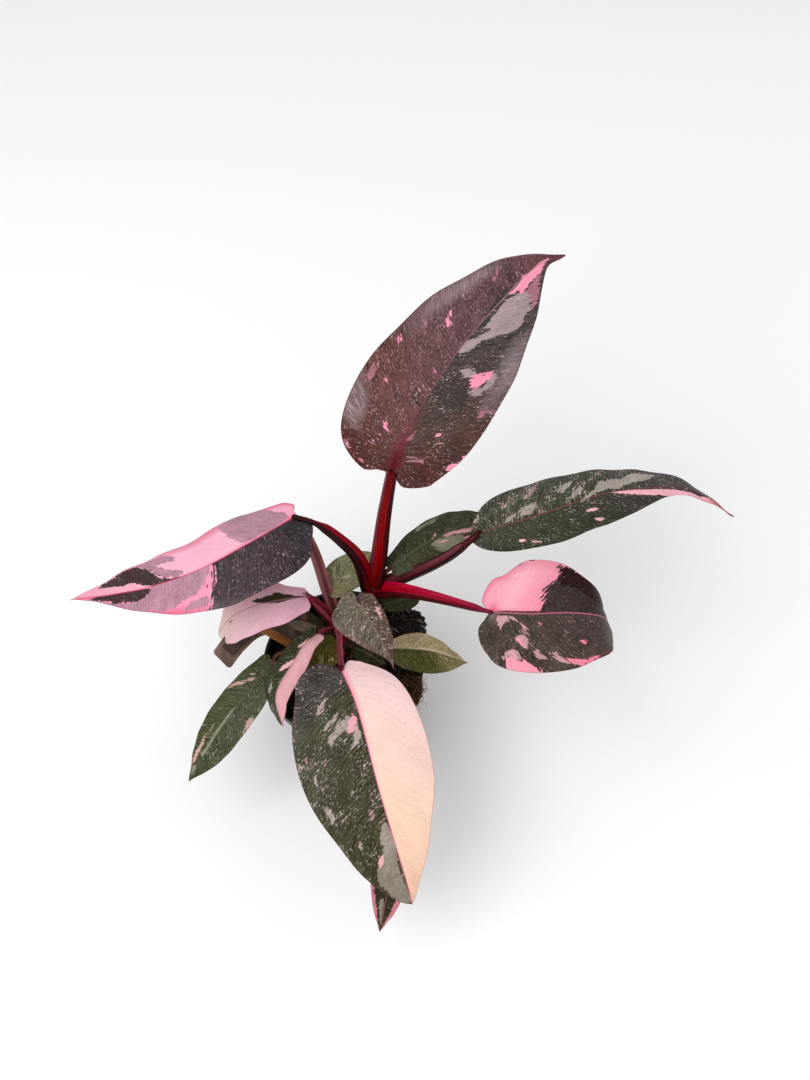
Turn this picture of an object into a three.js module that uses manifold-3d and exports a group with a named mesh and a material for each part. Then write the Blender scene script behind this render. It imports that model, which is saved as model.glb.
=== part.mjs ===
// A pink princess philodendron growing in a round nursery pot, with its support stick and plant label.
//
// Millimetres, +Z up. The origin is the centre of the pot's foot, on the surface that the pot stands on.
// The plant's front, the side its lowest leaves hang towards, faces -Y.

import * as THREE from "three";
import { mergeVertices } from "three/addons/utils/BufferGeometryUtils.js";
import Module from "manifold-3d";

const wasm = await Module();
wasm.setup();

// ---------------------------------------------------------------- driving dimensions

const GAP = 0.3; // clearance that touching pieces keep
const TINY = 1e-3; // points nearer than this are one point

const POT = {
  height: 80,
  rimRadius: 45,
  lipHeight: 9,
  lipStep: 1.6, // how far the lip stands out from the wall
  footRadius: 32,
  wall: 1.3,
  rimWall: 1.7,
  floorLift: 3, // the floor is raised between the foot ring and the middle disc
  discRadius: 10, // the flat middle disc that also stands on the ground
  drainRadius: 2,
  drainCircle: 20,
  drainCount: 6,
  drainSides: 10,
  segments: 36,
};

// The soil's edge, the height of its mound above that, and the worn edge against the pot.
const SOIL = { top: 72, mound: 2.5, bevel: 1, segments: 24 };

const STEM = {
  route: [[-2, 8, 58], [-1, 10, 74], [4, 14, 95], [11, 20, 112], [17, 25, 126]],
  rootRadius: 4.2,
  crownRadius: 3.4,
  sides: 12,
  steps: 10,
};

const STICK = { foot: [-13, 9, 59], top: [-54, 12, 113], radius: 2.3, sides: 8 };

// A thin plastic strip that bends out over the rim, from its free end to the point of its foot.
const LABEL = {
  route: [
    [-65, -8, 100], [-58, 4, 99], [-49, 15, 96], [-38, 20, 90], [-28, 19, 80], [-24, 17, 69], [-23, 16, 62],
  ],
  width: 14,
  thickness: 0.7,
  strips: 10,
};

// What has spilled onto the rim. The seed sets where a lump is dented.
const LUMPS = {
  soil_lump: { centre: [35, 23, 79], size: [20, 19, 13], seed: 1, finish: "soil" },
  root_clump: { centre: [38, -17, 79], size: [12, 17, 9], seed: 4, finish: "roots" },
};
const DENT = { depth: 0.13, waves: 5, crumbDepth: 0.08, crumbWaves: 9, detail: 2 };

const BLADE_THICKNESS = 0.7;
const STALK_SIDES = 8;
const STALK_STEPS = 8;
const RIBS = 12; // rows of lateral veins along a blade
const STRIPS = 3; // strips from midrib to edge on each half
const MIDRIB_STATIONS = 40;

// How the lateral veins run: how much they crowd towards the notch, how far they sweep forward on their
// way to the edge, how softly the one gives way to the other, and how they bend.
const VEINS = { crowding: 0.32, sweep: 0.85, blend: 0.06, bend: 1.3 };

// Half the outline of a heart-shaped blade, from the notch at the stalk to the drip tip,
// as shares of the blade's length and of its half width.
const HALF_OUTLINE = [
  [0, 0],
  [-0.04, 0.13],
  [-0.1, 0.36],
  [-0.07, 0.64],
  [0.05, 0.89],
  [0.23, 1],
  [0.44, 0.94],
  [0.63, 0.73],
  [0.79, 0.43],
  [0.915, 0.15],
  [1, 0],
];
const OUTLINE_LOBE = 0.1; // how far the outline's lobe reaches back
const OUTLINE_BELLY = 0.23; // where the outline is widest

// ---------------------------------------------------------------- the leaves
//
// stalk: the petiole's route from the stem to the blade, its radius at the foot, and its radius at the blade.
// midrib: points that the blade's midrib passes through, from the stalk to the drip tip.
// roll: degrees that the right half is raised at the stalk, and at the tip.
// left and right: the blade's halves, looking from the stalk to the tip. Each has its greatest width; how far
// its lobe reaches back past the stalk and where it is widest, as shares of the blade's length; how slim it
// runs towards its tip (under 1 is fuller than the outline above); the degrees that it rises from the midrib;
// and the degrees that it turns further by its edge.

const half = (width, lobe, belly, slim, fold, curl) => ({ width, lobe, belly, slim, fold, curl });

const LEAVES = {
  top_leaf: {
    stalk: { route: [[17, 25, 122], [21, 34, 139], [24, 47, 160], [28, 58, 184]], foot: 4.6, end: 2.5 },
    midrib: [
      [28, 59, 185], [36, 76, 196], [49, 96, 206], [66, 119, 215],
      [84, 139, 222], [103, 160, 225], [119, 170, 222],
    ],
    roll: [0, 4],
    left: half(39, 0.02, 0.23, 0.9, 6, -20),
    right: half(36, 0.03, 0.27, 1.3, 8, -16),
  },
  upper_right_leaf: {
    stalk: { route: [[18, 26, 121], [40, 28, 134], [58, 32, 145], [72, 40, 153]], foot: 3.9, end: 1.9 },
    midrib: [
      [73, 41, 154], [92, 44, 160], [111, 48, 165], [136, 57, 166],
      [161, 64, 161], [188, 71, 150], [215, 63, 134],
    ],
    roll: [0, 0],
    left: half(28, 0.01, 0.19, 1.3, -14, -16),
    right: half(17, 0.02, 0.25, 1.4, -14, -30),
  },
  round_right_leaf: {
    stalk: { route: [[18, 24, 120], [32, 18, 132], [50, 9, 142], [77, -3, 150]], foot: 4.3, end: 1.8 },
    midrib: [[78, -3, 150], [97, -5, 152], [118, -3, 149], [133, -1, 142], [141, 3, 128], [140, 6, 113]],
    roll: [0, 0],
    left: half(30.5, 0.05, 0.26, 1.5, 6, -12),
    right: half(32, 0.06, 0.22, 1.1, 2, -8),
  },
  pink_left_leaf: {
    stalk: {
      route: [[15, 25, 121], [10, 28, 149], [1, 31, 164], [-10, 36, 171], [-21, 40, 171]],
      foot: 4.4,
      end: 2,
    },
    midrib: [
      [-22, 41, 170], [-44, 27, 168], [-70, 17, 158],
      [-99, 14, 144], [-120, 15, 134], [-146, 19, 120],
    ],
    roll: [-12, -4],
    left: half(26, 0.04, 0.14, 1.3, -19, -4),
    right: half(30, 0.02, 0.28, 1.1, -13, -12),
  },
  front_leaf: {
    stalk: { route: [[5, 14, 94], [0, 8, 108], [0, -6, 118], [1, -18, 117]], foot: 3.4, end: 2.1 },
    midrib: [
      [1, -19, 115], [8, -35, 115], [13, -50, 112], [21, -78, 102],
      [31, -107, 84], [37, -123, 67], [38, -126, 52],
    ],
    roll: [4, 0],
    left: half(30, 0.01, 0.29, 1.4, 8, -16),
    right: half(38, 0.05, 0.3, 1.15, 4, -22),
  },
  crown_leaf: {
    stalk: { route: [[17, 25, 126], [16, 18, 138], [12, 9, 149]], foot: 2, end: 1.2 },
    midrib: [[10, 7, 151], [16, -5, 150], [24, -17, 140], [29, -24, 125]],
    roll: [6, 0],
    left: half(9, 0.1, 0.2, 1.6, 10, -34),
    right: half(18, 0.12, 0.15, 2, -2, -30),
  },
  low_right_leaf: {
    stalk: { route: [[2, 13, 86], [11, 5, 97], [19, 0, 102], [26, -1, 102]], foot: 1.8, end: 1.1 },
    midrib: [[27, -1, 102], [39, -2, 103], [54, -2, 98], [70, -3, 86]],
    roll: [0, 0],
    left: half(10.5, 0.02, 0.3, 1.6, 4, -10),
    right: half(13, 0.02, 0.36, 1.1, -2, -22),
  },
  back_right_leaf: {
    stalk: { route: [[14, 22, 114], [19, 28, 124], [26, 30, 134]], foot: 2, end: 1.2 },
    midrib: [[27, 31, 135], [43, 42, 138], [64, 56, 135], [92, 72, 122]],
    roll: [0, 0],
    left: half(12.5, 0.02, 0.4, 1.6, 2, -18),
    right: half(12, 0.01, 0.38, 1, 2, -14),
  },
  back_leaf: {
    stalk: { route: [[0, 12, 86], [-5, 22, 99], [-8, 30, 109]], foot: 3, end: 1.3 },
    midrib: [[-8, 31, 110], [2, 39, 113], [14, 50, 110], [28, 63, 102]],
    roll: [0, 0],
    left: half(11, 0.04, 0.3, 1, 6, -16),
    right: half(11, 0.04, 0.3, 1, 4, -12),
  },
  pale_left_leaf: {
    stalk: { route: [[0, 12, 88], [-5, 15, 100], [-11, 16, 115], [-17, 17, 127]], foot: 3.4, end: 1.5 },
    midrib: [[-18, 17, 128], [-30, 14, 130], [-47, 13, 124], [-59, 13, 112], [-66, 13, 98]],
    roll: [0, 0],
    left: half(16, 0.01, 0.55, 0.55, 0, -14),
    right: half(14, 0.01, 0.42, 0.5, 4, -10),
  },
  folded_front_leaf: {
    stalk: { route: [[1, 13, 90], [-5, 10, 103], [-11, 4, 111]], foot: 2, end: 1.3 },
    midrib: [[-12, 3, 112], [-19, -5, 115], [-25, -15, 112], [-32, -23, 104], [-35, -29, 94], [-32, -38, 80]],
    roll: [0, 0],
    left: half(8, 0.01, 0.44, 0.9, -18, -12),
    right: half(10, 0.01, 0.5, 0.65, -8, -22),
  },
  lower_left_leaf: {
    stalk: { route: [[-1, 11, 77], [-12, 6, 87], [-25, 2, 91], [-36, 0, 90]], foot: 1.9, end: 1.2 },
    midrib: [[-37, -1, 89], [-50, -19, 86], [-67, -38, 75], [-86, -60, 52]],
    roll: [0, 0],
    left: half(13, 0.02, 0.42, 1, 6, -14),
    right: half(12, 0.02, 0.38, 1, 4, -14),
  },
  inner_left_leaf: {
    stalk: { route: [[-1, 10, 77], [-1, 9, 85], [-2, 8, 89]], foot: 1.5, end: 1 },
    midrib: [[-3, 7, 89], [-12, 1, 93], [-21, -6, 92], [-30, -14, 87]],
    roll: [0, 0],
    left: half(12, 0.02, 0.38, 1, 6, -14),
    right: half(11, 0.02, 0.38, 1, 6, -14),
  },
  inner_right_leaf: {
    stalk: { route: [[1, 11, 80], [3, 8, 86], [5, 6, 88]], foot: 1.4, end: 0.9 },
    midrib: [[6, 5, 88], [12, 2, 90], [18, -1, 88], [24, -3, 84]],
    roll: [0, 0],
    left: half(6.5, 0.01, 0.4, 1, 8, -14),
    right: half(6.5, 0.01, 0.4, 1, 8, -14),
  },
  hanging_front_leaf: {
    stalk: { route: [[-2, 9, 75], [4, -12, 90], [13, -48, 93], [22, -84, 80]], foot: 2.1, end: 1.3 },
    midrib: [[23, -85, 79], [25, -103, 72], [25, -120, 56], [21, -137, 34]],
    roll: [0, 0],
    left: half(10, 0, 0.38, 1, 8, -14),
    right: half(9, 0, 0.38, 1, 8, -14),
  },
  tucked_right_leaf: {
    stalk: { route: [[6, 16, 96], [14, 22, 98], [21, 26, 98]], foot: 1.6, end: 1 },
    midrib: [[22, 27, 98], [30, 29, 99], [37, 32, 97], [44, 36, 92]],
    roll: [0, 0],
    left: half(7, 0.02, 0.4, 1, 4, -12),
    right: half(7, 0.02, 0.4, 1, 4, -12),
  },
  shaded_left_leaf: {
    stalk: { route: [[-1, 10, 81], [-7, 14, 86], [-12, 17, 89]], foot: 1.7, end: 1.1 },
    midrib: [[-13, 17, 90], [-20, 18, 94], [-28, 22, 96], [-36, 30, 93]],
    roll: [0, 0],
    left: half(7, 0, 0.38, 1, 4, -22),
    right: half(7, 0, 0.38, 1, 10, -22),
  },
  low_front_leaf: {
    stalk: { route: [[0, 8, 77], [3, 3, 80], [8, -3, 80]], foot: 1.3, end: 0.9 },
    midrib: [[9, -4, 80], [16, -8, 82], [24, -11, 81], [32, -13, 78]],
    roll: [0, 0],
    left: half(6, 0, 0.4, 1, 6, -14),
    right: half(6, 0, 0.4, 1, 6, -14),
  },
  hidden_left_leaf: {
    stalk: { route: [[0, 13, 90], [-8, 28, 108], [-14, 42, 125], [-19, 51, 132]], foot: 2.4, end: 1.4 },
    midrib: [[-20, 52, 132], [-34, 49, 134], [-51, 45, 126], [-68, 41, 112]],
    roll: [0, 0],
    left: half(14, 0.03, 0.36, 1, 6, -16),
    right: half(14, 0.03, 0.36, 1, 6, -16),
  },
};

// ---------------------------------------------------------------- materials

const FINISH = {
  stalk: { color: 0x6a0c22, roughness: 0.4 },
  stem: { color: 0x59302c, roughness: 0.6 },
  blade: { color: 0x46403b, roughness: 0.42 },
  pinkBlade: { color: 0xe79fb4, roughness: 0.42 },
  pot: { color: 0x0b0b0c, roughness: 0.55 },
  soil: { color: 0x1d130e, roughness: 0.95 },
  roots: { color: 0x402512, roughness: 0.95 },
  stick: { color: 0x9a5f2f, roughness: 0.6 },
  label: { color: 0x9c8a80, roughness: 0.5 },
};
const PINK_LEAVES = ["pink_left_leaf", "pale_left_leaf", "front_leaf", "round_right_leaf"];

// ---------------------------------------------------------------- solids

const vector = ([x, y, z]) => new THREE.Vector3(x, y, z);
const curveThrough = (points) => new THREE.CatmullRomCurve3(points.map(vector), false, "catmullrom", 0.5);
const mix = (a, b, share) => a + (b - a) * share;

function solidOf(geometry) {
  const bare = geometry.clone();
  bare.deleteAttribute("normal");
  bare.deleteAttribute("uv");
  const merged = mergeVertices(bare, TINY);
  return new wasm.Manifold(
    new wasm.Mesh({
      numProp: 3,
      vertProperties: merged.attributes.position.array,
      triVerts: new Uint32Array(merged.index.array),
    }),
  );
}

function geometryOf(solid) {
  const mesh = solid.getMesh();
  return new THREE.BufferGeometry()
    .setAttribute("position", new THREE.BufferAttribute(new Float32Array(mesh.vertProperties), 3))
    .setIndex(new THREE.BufferAttribute(new Uint32Array(mesh.triVerts), 1));
}

// A solid with the cutters taken away, less any chips that the cut leaves loose.
function carve(solid, cutters) {
  const cut = cutters.reduce((rest, cutter) => rest.subtract(cutter), solid);
  return cut.decompose().sort((a, b) => b.volume() - a.volume())[0];
}

// A round rod along a curve whose radius changes from end to end.
function taperedRod(curve, radiusAt, sides, steps) {
  const section = new THREE.Shape().absarc(0, 0, 1, 0, 2 * Math.PI);
  const rod = new THREE.ExtrudeGeometry(section, {
    curveSegments: sides / 2,
    steps,
    bevelEnabled: false,
    extrudePath: curve,
  });
  const stations = curve.getSpacedPoints(steps);
  const position = rod.getAttribute("position");
  const point = new THREE.Vector3();
  for (let i = 0; i < position.count; i++) {
    point.fromBufferAttribute(position, i);
    const distances = stations.map((station) => station.distanceTo(point));
    const nearest = distances.indexOf(Math.min(...distances));
    point.sub(stations[nearest]).multiplyScalar(radiusAt(nearest / steps)).add(stations[nearest]);
    position.setXYZ(i, point.x, point.y, point.z);
  }
  return rod;
}

// A petiole: thick where its sheath wraps the stem, slim beyond the sheath. With a margin it is the
// space that other pieces stay out of.
function stalkSolid({ route, foot, end }, margin = 0) {
  const radiusAt = (share) => mix(foot, end, Math.sqrt(share)) + margin;
  return solidOf(taperedRod(curveThrough(route), radiusAt, STALK_SIDES, STALK_STEPS));
}

function stemSolid(margin = 0) {
  const radiusAt = (share) => mix(STEM.rootRadius, STEM.crownRadius, share) + margin;
  return solidOf(taperedRod(curveThrough(STEM.route), radiusAt, STEM.sides, STEM.steps));
}

// ---------------------------------------------------------------- leaf blades

// The blade's outline at a share of the way from the notch to the tip, fitted to this leaf.
const outline = new THREE.SplineCurve(HALF_OUTLINE.map(([x, y]) => new THREE.Vector2(x, y)));
function edgeAt(share, { lobe, belly, slim }) {
  const { x, y } = outline.getPoint(share);
  const shoulder = Math.sin(Math.PI * Math.min(1, 2 * share)) ** 2;
  const along = x + (OUTLINE_LOBE - lobe) * shoulder;
  const stretched = along < 0 ? along : along ** (Math.log(belly) / Math.log(OUTLINE_BELLY));
  return { along: stretched, across: Math.max(0, y) ** slim };
}

// Where the lateral vein that ends at this edge point leaves the midrib.
function veinFoot(share, edge, slenderness) {
  const crowded = VEINS.crowding * share ** 2;
  const swept = edge.along - (VEINS.sweep * edge.across) / slenderness;
  const blend = Math.hypot(crowded - swept, VEINS.blend * Math.sqrt(share));
  return Math.min(1, (crowded + swept + blend) / 2);
}

// Frames along the midrib: place, forward, right and up, carried along without twisting, then rolled.
function midribFrames({ midrib, roll }, count = MIDRIB_STATIONS) {
  const curve = curveThrough(midrib);
  const places = curve.getSpacedPoints(count);
  let right = curve.getTangentAt(0).cross(new THREE.Vector3(0, 0, 1)).normalize();
  return places.map((place, i) => {
    const share = i / count;
    const forward = curve.getTangentAt(share).normalize();
    right = right.clone().addScaledVector(forward, -right.dot(forward)).normalize();
    const turn = THREE.MathUtils.degToRad(-mix(roll[0], roll[1], share));
    const side = right.clone().applyAxisAngle(forward, turn);
    return { place, forward, side, up: side.clone().cross(forward), length: curve.getLength() };
  });
}

// The point of a blade at a share along the midrib and a share out to the edge of one half.
function bladePoint(frames, side, shape, along, across) {
  const last = frames.length - 1;
  const position = THREE.MathUtils.clamp(along, 0, 1) * last;
  const index = Math.min(last - 1, Math.floor(position));
  const [a, b] = [frames[index], frames[index + 1]];
  const blend = (key) => a[key].clone().lerp(b[key], position - index);
  const fold = THREE.MathUtils.degToRad(shape.fold);
  const curl = THREE.MathUtils.degToRad(shape.curl);
  const out = (shape.width * (Math.sin(fold + curl * across) - Math.sin(fold))) / curl;
  const rise = (shape.width * (Math.cos(fold) - Math.cos(fold + curl * across))) / curl;
  return blend("place")
    .addScaledVector(a.forward, Math.min(0, along) * a.length)
    .addScaledVector(blend("side").normalize(), side * out)
    .addScaledVector(blend("up").normalize(), rise);
}

// One face of a blade as a grid: rows are lateral veins, columns run from the left edge to the right.
function bladeGrid(leaf) {
  const frames = midribFrames(leaf);
  const slenderness = (2 * frames[0].length) / (leaf.left.width + leaf.right.width);
  const rows = [];
  for (let i = 0; i <= RIBS; i++) {
    const share = i / RIBS;
    const edges = { left: edgeAt(share, leaf.left), right: edgeAt(share, leaf.right) };
    const foot = (veinFoot(share, edges.left, slenderness) + veinFoot(share, edges.right, slenderness)) / 2;
    const row = [];
    for (let j = -STRIPS; j <= STRIPS; j++) {
      const side = j < 0 ? "left" : "right";
      const reach = Math.abs(j) / STRIPS;
      const along = mix(foot, edges[side].along, reach ** VEINS.bend);
      row.push(bladePoint(frames, Math.sign(j), leaf[side], along, edges[side].across * reach));
    }
    rows.push(row);
  }
  return rows;
}

// A grid of points as a closed sheet of even thickness. A row whose points coincide closes to a point.
function sheetSolid(rows, thickness) {
  const lastRow = rows.length - 1;
  const lastColumn = rows[0].length - 1;
  const isPoint = (row) => row[0].distanceTo(row[lastColumn]) < TINY;
  const columnOf = (i, j) => (isPoint(rows[i]) ? lastColumn / 2 : j);
  const clamp = THREE.MathUtils.clamp;
  const normalAt = (i, j) => {
    const row = isPoint(rows[i]) ? clamp(i, 1, lastRow - 1) : i;
    const ahead = rows[clamp(row + 1, 0, lastRow)][j];
    const behind = rows[clamp(row - 1, 0, lastRow)][j];
    const across = rows[row][clamp(j + 1, 0, lastColumn)].clone().sub(rows[row][clamp(j - 1, 0, lastColumn)]);
    return across.cross(ahead.clone().sub(behind)).normalize();
  };
  const positions = [];
  const known = new Map();
  const vertex = (i, j, face) => {
    const column = columnOf(i, j);
    const key = `${i},${column},${face}`;
    if (!known.has(key)) {
      known.set(key, positions.length / 3);
      const offset = normalAt(i, column).multiplyScalar((face * thickness) / 2);
      positions.push(...rows[i][column].clone().add(offset).toArray());
    }
    return known.get(key);
  };
  const triangles = [];
  const quad = (a, b, c, d) => {
    for (const [p, q, r] of [[a, b, c], [a, c, d]]) {
      if (p !== q && q !== r && p !== r) triangles.push(p, q, r);
    }
  };
  for (let i = 0; i < lastRow; i++) {
    for (let j = 0; j < lastColumn; j++) {
      quad(vertex(i, j, 1), vertex(i, j + 1, 1), vertex(i + 1, j + 1, 1), vertex(i + 1, j, 1));
      quad(vertex(i, j, -1), vertex(i + 1, j, -1), vertex(i + 1, j + 1, -1), vertex(i, j + 1, -1));
    }
    quad(vertex(i, 0, -1), vertex(i, 0, 1), vertex(i + 1, 0, 1), vertex(i + 1, 0, -1));
    const j = lastColumn;
    quad(vertex(i, j, 1), vertex(i, j, -1), vertex(i + 1, j, -1), vertex(i + 1, j, 1));
  }
  for (let j = 0; j < lastColumn; j++) {
    if (!isPoint(rows[0])) {
      quad(vertex(0, j, -1), vertex(0, j + 1, -1), vertex(0, j + 1, 1), vertex(0, j, 1));
    }
    if (!isPoint(rows[lastRow])) {
      const i = lastRow;
      quad(vertex(i, j, 1), vertex(i, j + 1, 1), vertex(i, j + 1, -1), vertex(i, j, -1));
    }
  }
  const sheet = new THREE.BufferGeometry()
    .setAttribute("position", new THREE.Float32BufferAttribute(positions, 3))
    .setIndex(triangles);
  return solidOf(sheet);
}

const bladeSolid = (leaf) => sheetSolid(bladeGrid(leaf), BLADE_THICKNESS);

// ---------------------------------------------------------------- pot, soil, stick and label

const turned = (profile, segments) =>
  new THREE.LatheGeometry(profile.map(([r, z]) => new THREE.Vector2(r, z)), segments).rotateX(Math.PI / 2);

// The pot's outer wall radius at a height, between its foot and the underside of its lip.
function wallRadius(z) {
  const share = THREE.MathUtils.clamp(z / (POT.height - POT.lipHeight), 0, 1);
  return mix(POT.footRadius, POT.rimRadius - POT.lipStep, share);
}

function potSolid() {
  const { height, rimRadius, lipHeight, lipStep, footRadius, wall, rimWall, floorLift, discRadius } = POT;
  const lipFoot = height - lipHeight;
  const floor = floorLift + wall;
  const profile = [
    [0, 0],
    [discRadius, 0],
    [discRadius + wall, floorLift],
    [footRadius - 3 * wall, floorLift],
    [footRadius - 2 * wall, 0],
    [footRadius, 0],
    [wallRadius(lipFoot), lipFoot],
    [rimRadius, lipFoot + lipStep],
    [rimRadius, height],
    [rimRadius - rimWall, height],
    [wallRadius(lipFoot) - wall, lipFoot],
    [wallRadius(floor) - wall, floor],
    [discRadius, floor],
    [discRadius - wall, wall],
    [0, wall],
  ];
  const holes = [];
  for (let i = 0; i < POT.drainCount; i++) {
    const angle = (2 * Math.PI * i) / POT.drainCount;
    const hole = new THREE.CylinderGeometry(POT.drainRadius, POT.drainRadius, 4 * floorLift, POT.drainSides);
    hole.rotateX(Math.PI / 2);
    hole.translate(POT.drainCircle * Math.cos(angle), POT.drainCircle * Math.sin(angle), floorLift);
    holes.push(solidOf(hole));
  }
  return carve(solidOf(turned(profile, POT.segments)), holes);
}

// The potting mix fills the pot and rises to a low mound. A margin raises its top.
function soilSolid(margin = 0) {
  const floor = POT.floorLift + POT.wall + GAP;
  const inside = (z) => wallRadius(z) - POT.wall - 2 * GAP;
  const dip = POT.discRadius - 2 * GAP;
  const brow = inside(SOIL.top) - SOIL.bevel;
  const crest = (share) => [brow * share, SOIL.top + SOIL.mound * (1 - share ** 2) + margin];
  const profile = [
    [0, POT.wall + GAP],
    [dip - POT.wall, POT.wall + GAP],
    [dip, floor],
    [inside(floor), floor],
    [inside(SOIL.top), SOIL.top - SOIL.bevel],
    ...[1, 0.7, 0.35, 0].map(crest),
  ];
  return solidOf(turned(profile, SOIL.segments));
}

function stickSolid(margin = 0) {
  const line = new THREE.LineCurve3(vector(STICK.foot), vector(STICK.top));
  return solidOf(taperedRod(line, () => STICK.radius + margin, STICK.sides, 1));
}

function labelSolid(margin = 0) {
  const frames = midribFrames({ midrib: LABEL.route, roll: [0, 0] }, LABEL.strips);
  const rows = frames.map(({ place, side }, i) => {
    const reach = i === LABEL.strips ? 0 : LABEL.width / 2 + margin;
    return [-reach, 0, reach].map((offset) => place.clone().addScaledVector(side, offset));
  });
  return sheetSolid(rows, LABEL.thickness + 2 * margin);
}

// The rim and the space just around it, which what spills over it stays out of.
function rimClearance() {
  const foot = POT.height - 2 * POT.lipHeight;
  const top = POT.height + GAP;
  const outer = POT.rimRadius + GAP;
  const inner = wallRadius(foot) - POT.wall - GAP;
  const mouth = POT.rimRadius - POT.rimWall - GAP;
  const profile = [[inner, foot], [outer, foot], [outer, top], [mouth, top], [inner, foot]];
  return solidOf(turned(profile, POT.segments));
}

// A rough lump of potting mix: a ball with fixed dents.
function lumpSolid({ centre, size, seed }) {
  const ball = new THREE.IcosahedronGeometry(1, DENT.detail);
  const position = ball.getAttribute("position");
  for (let i = 0; i < position.count; i++) {
    const [x, y, z] = [position.getX(i), position.getY(i), position.getZ(i)];
    const dent = DENT.depth * Math.sin(DENT.waves * x + seed) * Math.cos(DENT.waves * y - seed);
    const crumb = DENT.crumbDepth * Math.sin(DENT.crumbWaves * z + seed);
    const swell = 1 + dent + crumb;
    position.setXYZ(i, x * swell, y * swell, z * swell);
  }
  const [width, depth, height] = size;
  ball.scale(width / 2, depth / 2, height / 2).translate(...centre);
  return solidOf(ball);
}

// ---------------------------------------------------------------- assembly

const plant = new THREE.Group();
plant.name = "pink_princess_philodendron";

function add(name, solid, finish) {
  const material = new THREE.MeshStandardMaterial({ ...FINISH[finish], metalness: 0 });
  const mesh = new THREE.Mesh(geometryOf(solid), material);
  mesh.name = name;
  plant.add(mesh);
}

const rodClearances = [stemSolid(GAP)];
add("stem", stemSolid(), "stem");

for (const [name, leaf] of Object.entries(LEAVES)) {
  add(`${name}_stalk`, carve(stalkSolid(leaf.stalk), rodClearances), "stalk");
  rodClearances.push(stalkSolid(leaf.stalk, GAP));
}
for (const [name, leaf] of Object.entries(LEAVES)) {
  const finish = PINK_LEAVES.includes(name) ? "pinkBlade" : "blade";
  add(`${name}_blade`, carve(bladeSolid(leaf), rodClearances), finish);
}

add("support_stick", carve(stickSolid(), rodClearances), "stick");
add("plant_label", carve(labelSolid(), [...rodClearances, stickSolid(GAP)]), "label");

const buried = [...rodClearances, stickSolid(GAP), labelSolid(GAP)];
const ground = [soilSolid(GAP), rimClearance(), ...rodClearances];
add("nursery_pot", potSolid(), "pot");
add("soil", carve(soilSolid(), buried), "soil");
for (const [name, lump] of Object.entries(LUMPS)) {
  add(name, carve(lumpSolid(lump), ground), lump.finish);
}

export default plant;
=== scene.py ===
"""Variegated philodendron in its nursery pot: the looks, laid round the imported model.

Lengths in the tables are millimetres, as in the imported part. Blender's own units are metres.
"""

import math
import random
from typing import NamedTuple

import bpy
import numpy as np
from bpy.props import FloatProperty, FloatVectorProperty, IntProperty, PointerProperty
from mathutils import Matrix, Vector, noise


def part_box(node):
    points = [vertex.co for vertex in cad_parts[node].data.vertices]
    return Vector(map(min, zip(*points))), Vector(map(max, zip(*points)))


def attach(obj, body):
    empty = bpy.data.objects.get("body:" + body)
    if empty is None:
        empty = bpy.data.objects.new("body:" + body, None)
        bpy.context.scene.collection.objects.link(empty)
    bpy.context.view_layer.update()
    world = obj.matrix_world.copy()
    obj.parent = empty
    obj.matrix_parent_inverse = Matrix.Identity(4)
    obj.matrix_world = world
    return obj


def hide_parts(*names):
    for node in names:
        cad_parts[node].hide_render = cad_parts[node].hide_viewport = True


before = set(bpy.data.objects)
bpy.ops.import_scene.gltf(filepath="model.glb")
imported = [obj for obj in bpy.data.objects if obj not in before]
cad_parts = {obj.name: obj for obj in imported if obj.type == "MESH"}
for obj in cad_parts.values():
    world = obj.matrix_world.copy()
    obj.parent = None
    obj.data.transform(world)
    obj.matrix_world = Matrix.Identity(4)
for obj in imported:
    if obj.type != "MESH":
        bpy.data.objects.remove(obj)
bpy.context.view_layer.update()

bl_info = {
    "name": "Potted Philodendron",
    "version": (1, 0, 0),
    "blender": (4, 5, 0),
    "location": "View3D > Sidebar > Plant",
    "description": "Blades, petioles, pot, soil, stick and label of a variegated philodendron",
    "category": "Object",
}

MM = 0.001
BODY = "root"
UP = np.array((0.0, 0.0, 1.0))
TRACE_STEPS = 600
NEAR = 1e-4


# ---------------------------------------------------------------- curves and frames


def spline(points, shares, clamp=False):
    """Points at some shares of an even Catmull-Rom curve; clamp doubles its end points."""
    knots = np.asarray(points, float)
    before, after = 2 * knots[0] - knots[1], 2 * knots[-1] - knots[-2]
    if clamp:
        before, after = knots[0], knots[-1]
    knots = np.vstack([before, knots, after])
    place = np.clip(np.asarray(shares, float), 0, 1) * (len(knots) - 3)
    first = np.minimum(place.astype(int), len(knots) - 4)
    part = (place - first)[..., None]
    p0, p1, p2, p3 = (knots[first + step] for step in range(4))
    leave, arrive = (p2 - p0) / 2, (p3 - p1) / 2
    cubic = 2 * p1 - 2 * p2 + leave + arrive
    square = 3 * p2 - 3 * p1 - 2 * leave - arrive
    return ((cubic * part + square) * part + leave) * part + p1


def unit(vectors):
    """Vectors of length one."""
    return vectors / np.linalg.norm(vectors, axis=-1, keepdims=True)


def smooth(values, low, high):
    """0 below low, 1 above high and a soft step between."""
    step = np.clip((values - low) / (high - low), 0, 1)
    return step * step * (3 - 2 * step)


def hump(values, centre, spread):
    """A soft bump of height 1 round a centre."""
    return np.exp(-(((values - centre) / spread) ** 2))


class Course(NamedTuple):
    """A curve walked at even steps: its points, directions and length."""

    places: np.ndarray
    ahead: np.ndarray
    length: float


def walk(points, steps):
    """A curve's points at even distances, with the direction at each."""
    fine = np.linspace(0, 1, TRACE_STEPS)
    traced = spline(points, fine)
    run = np.r_[0, np.cumsum(np.linalg.norm(np.diff(traced, axis=0), axis=1))]
    shares = np.interp(np.linspace(0, run[-1], steps + 1), run, fine)
    ahead = spline(points, shares + NEAR) - spline(points, shares - NEAR)
    return Course(spline(points, shares), unit(ahead), run[-1])


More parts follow.
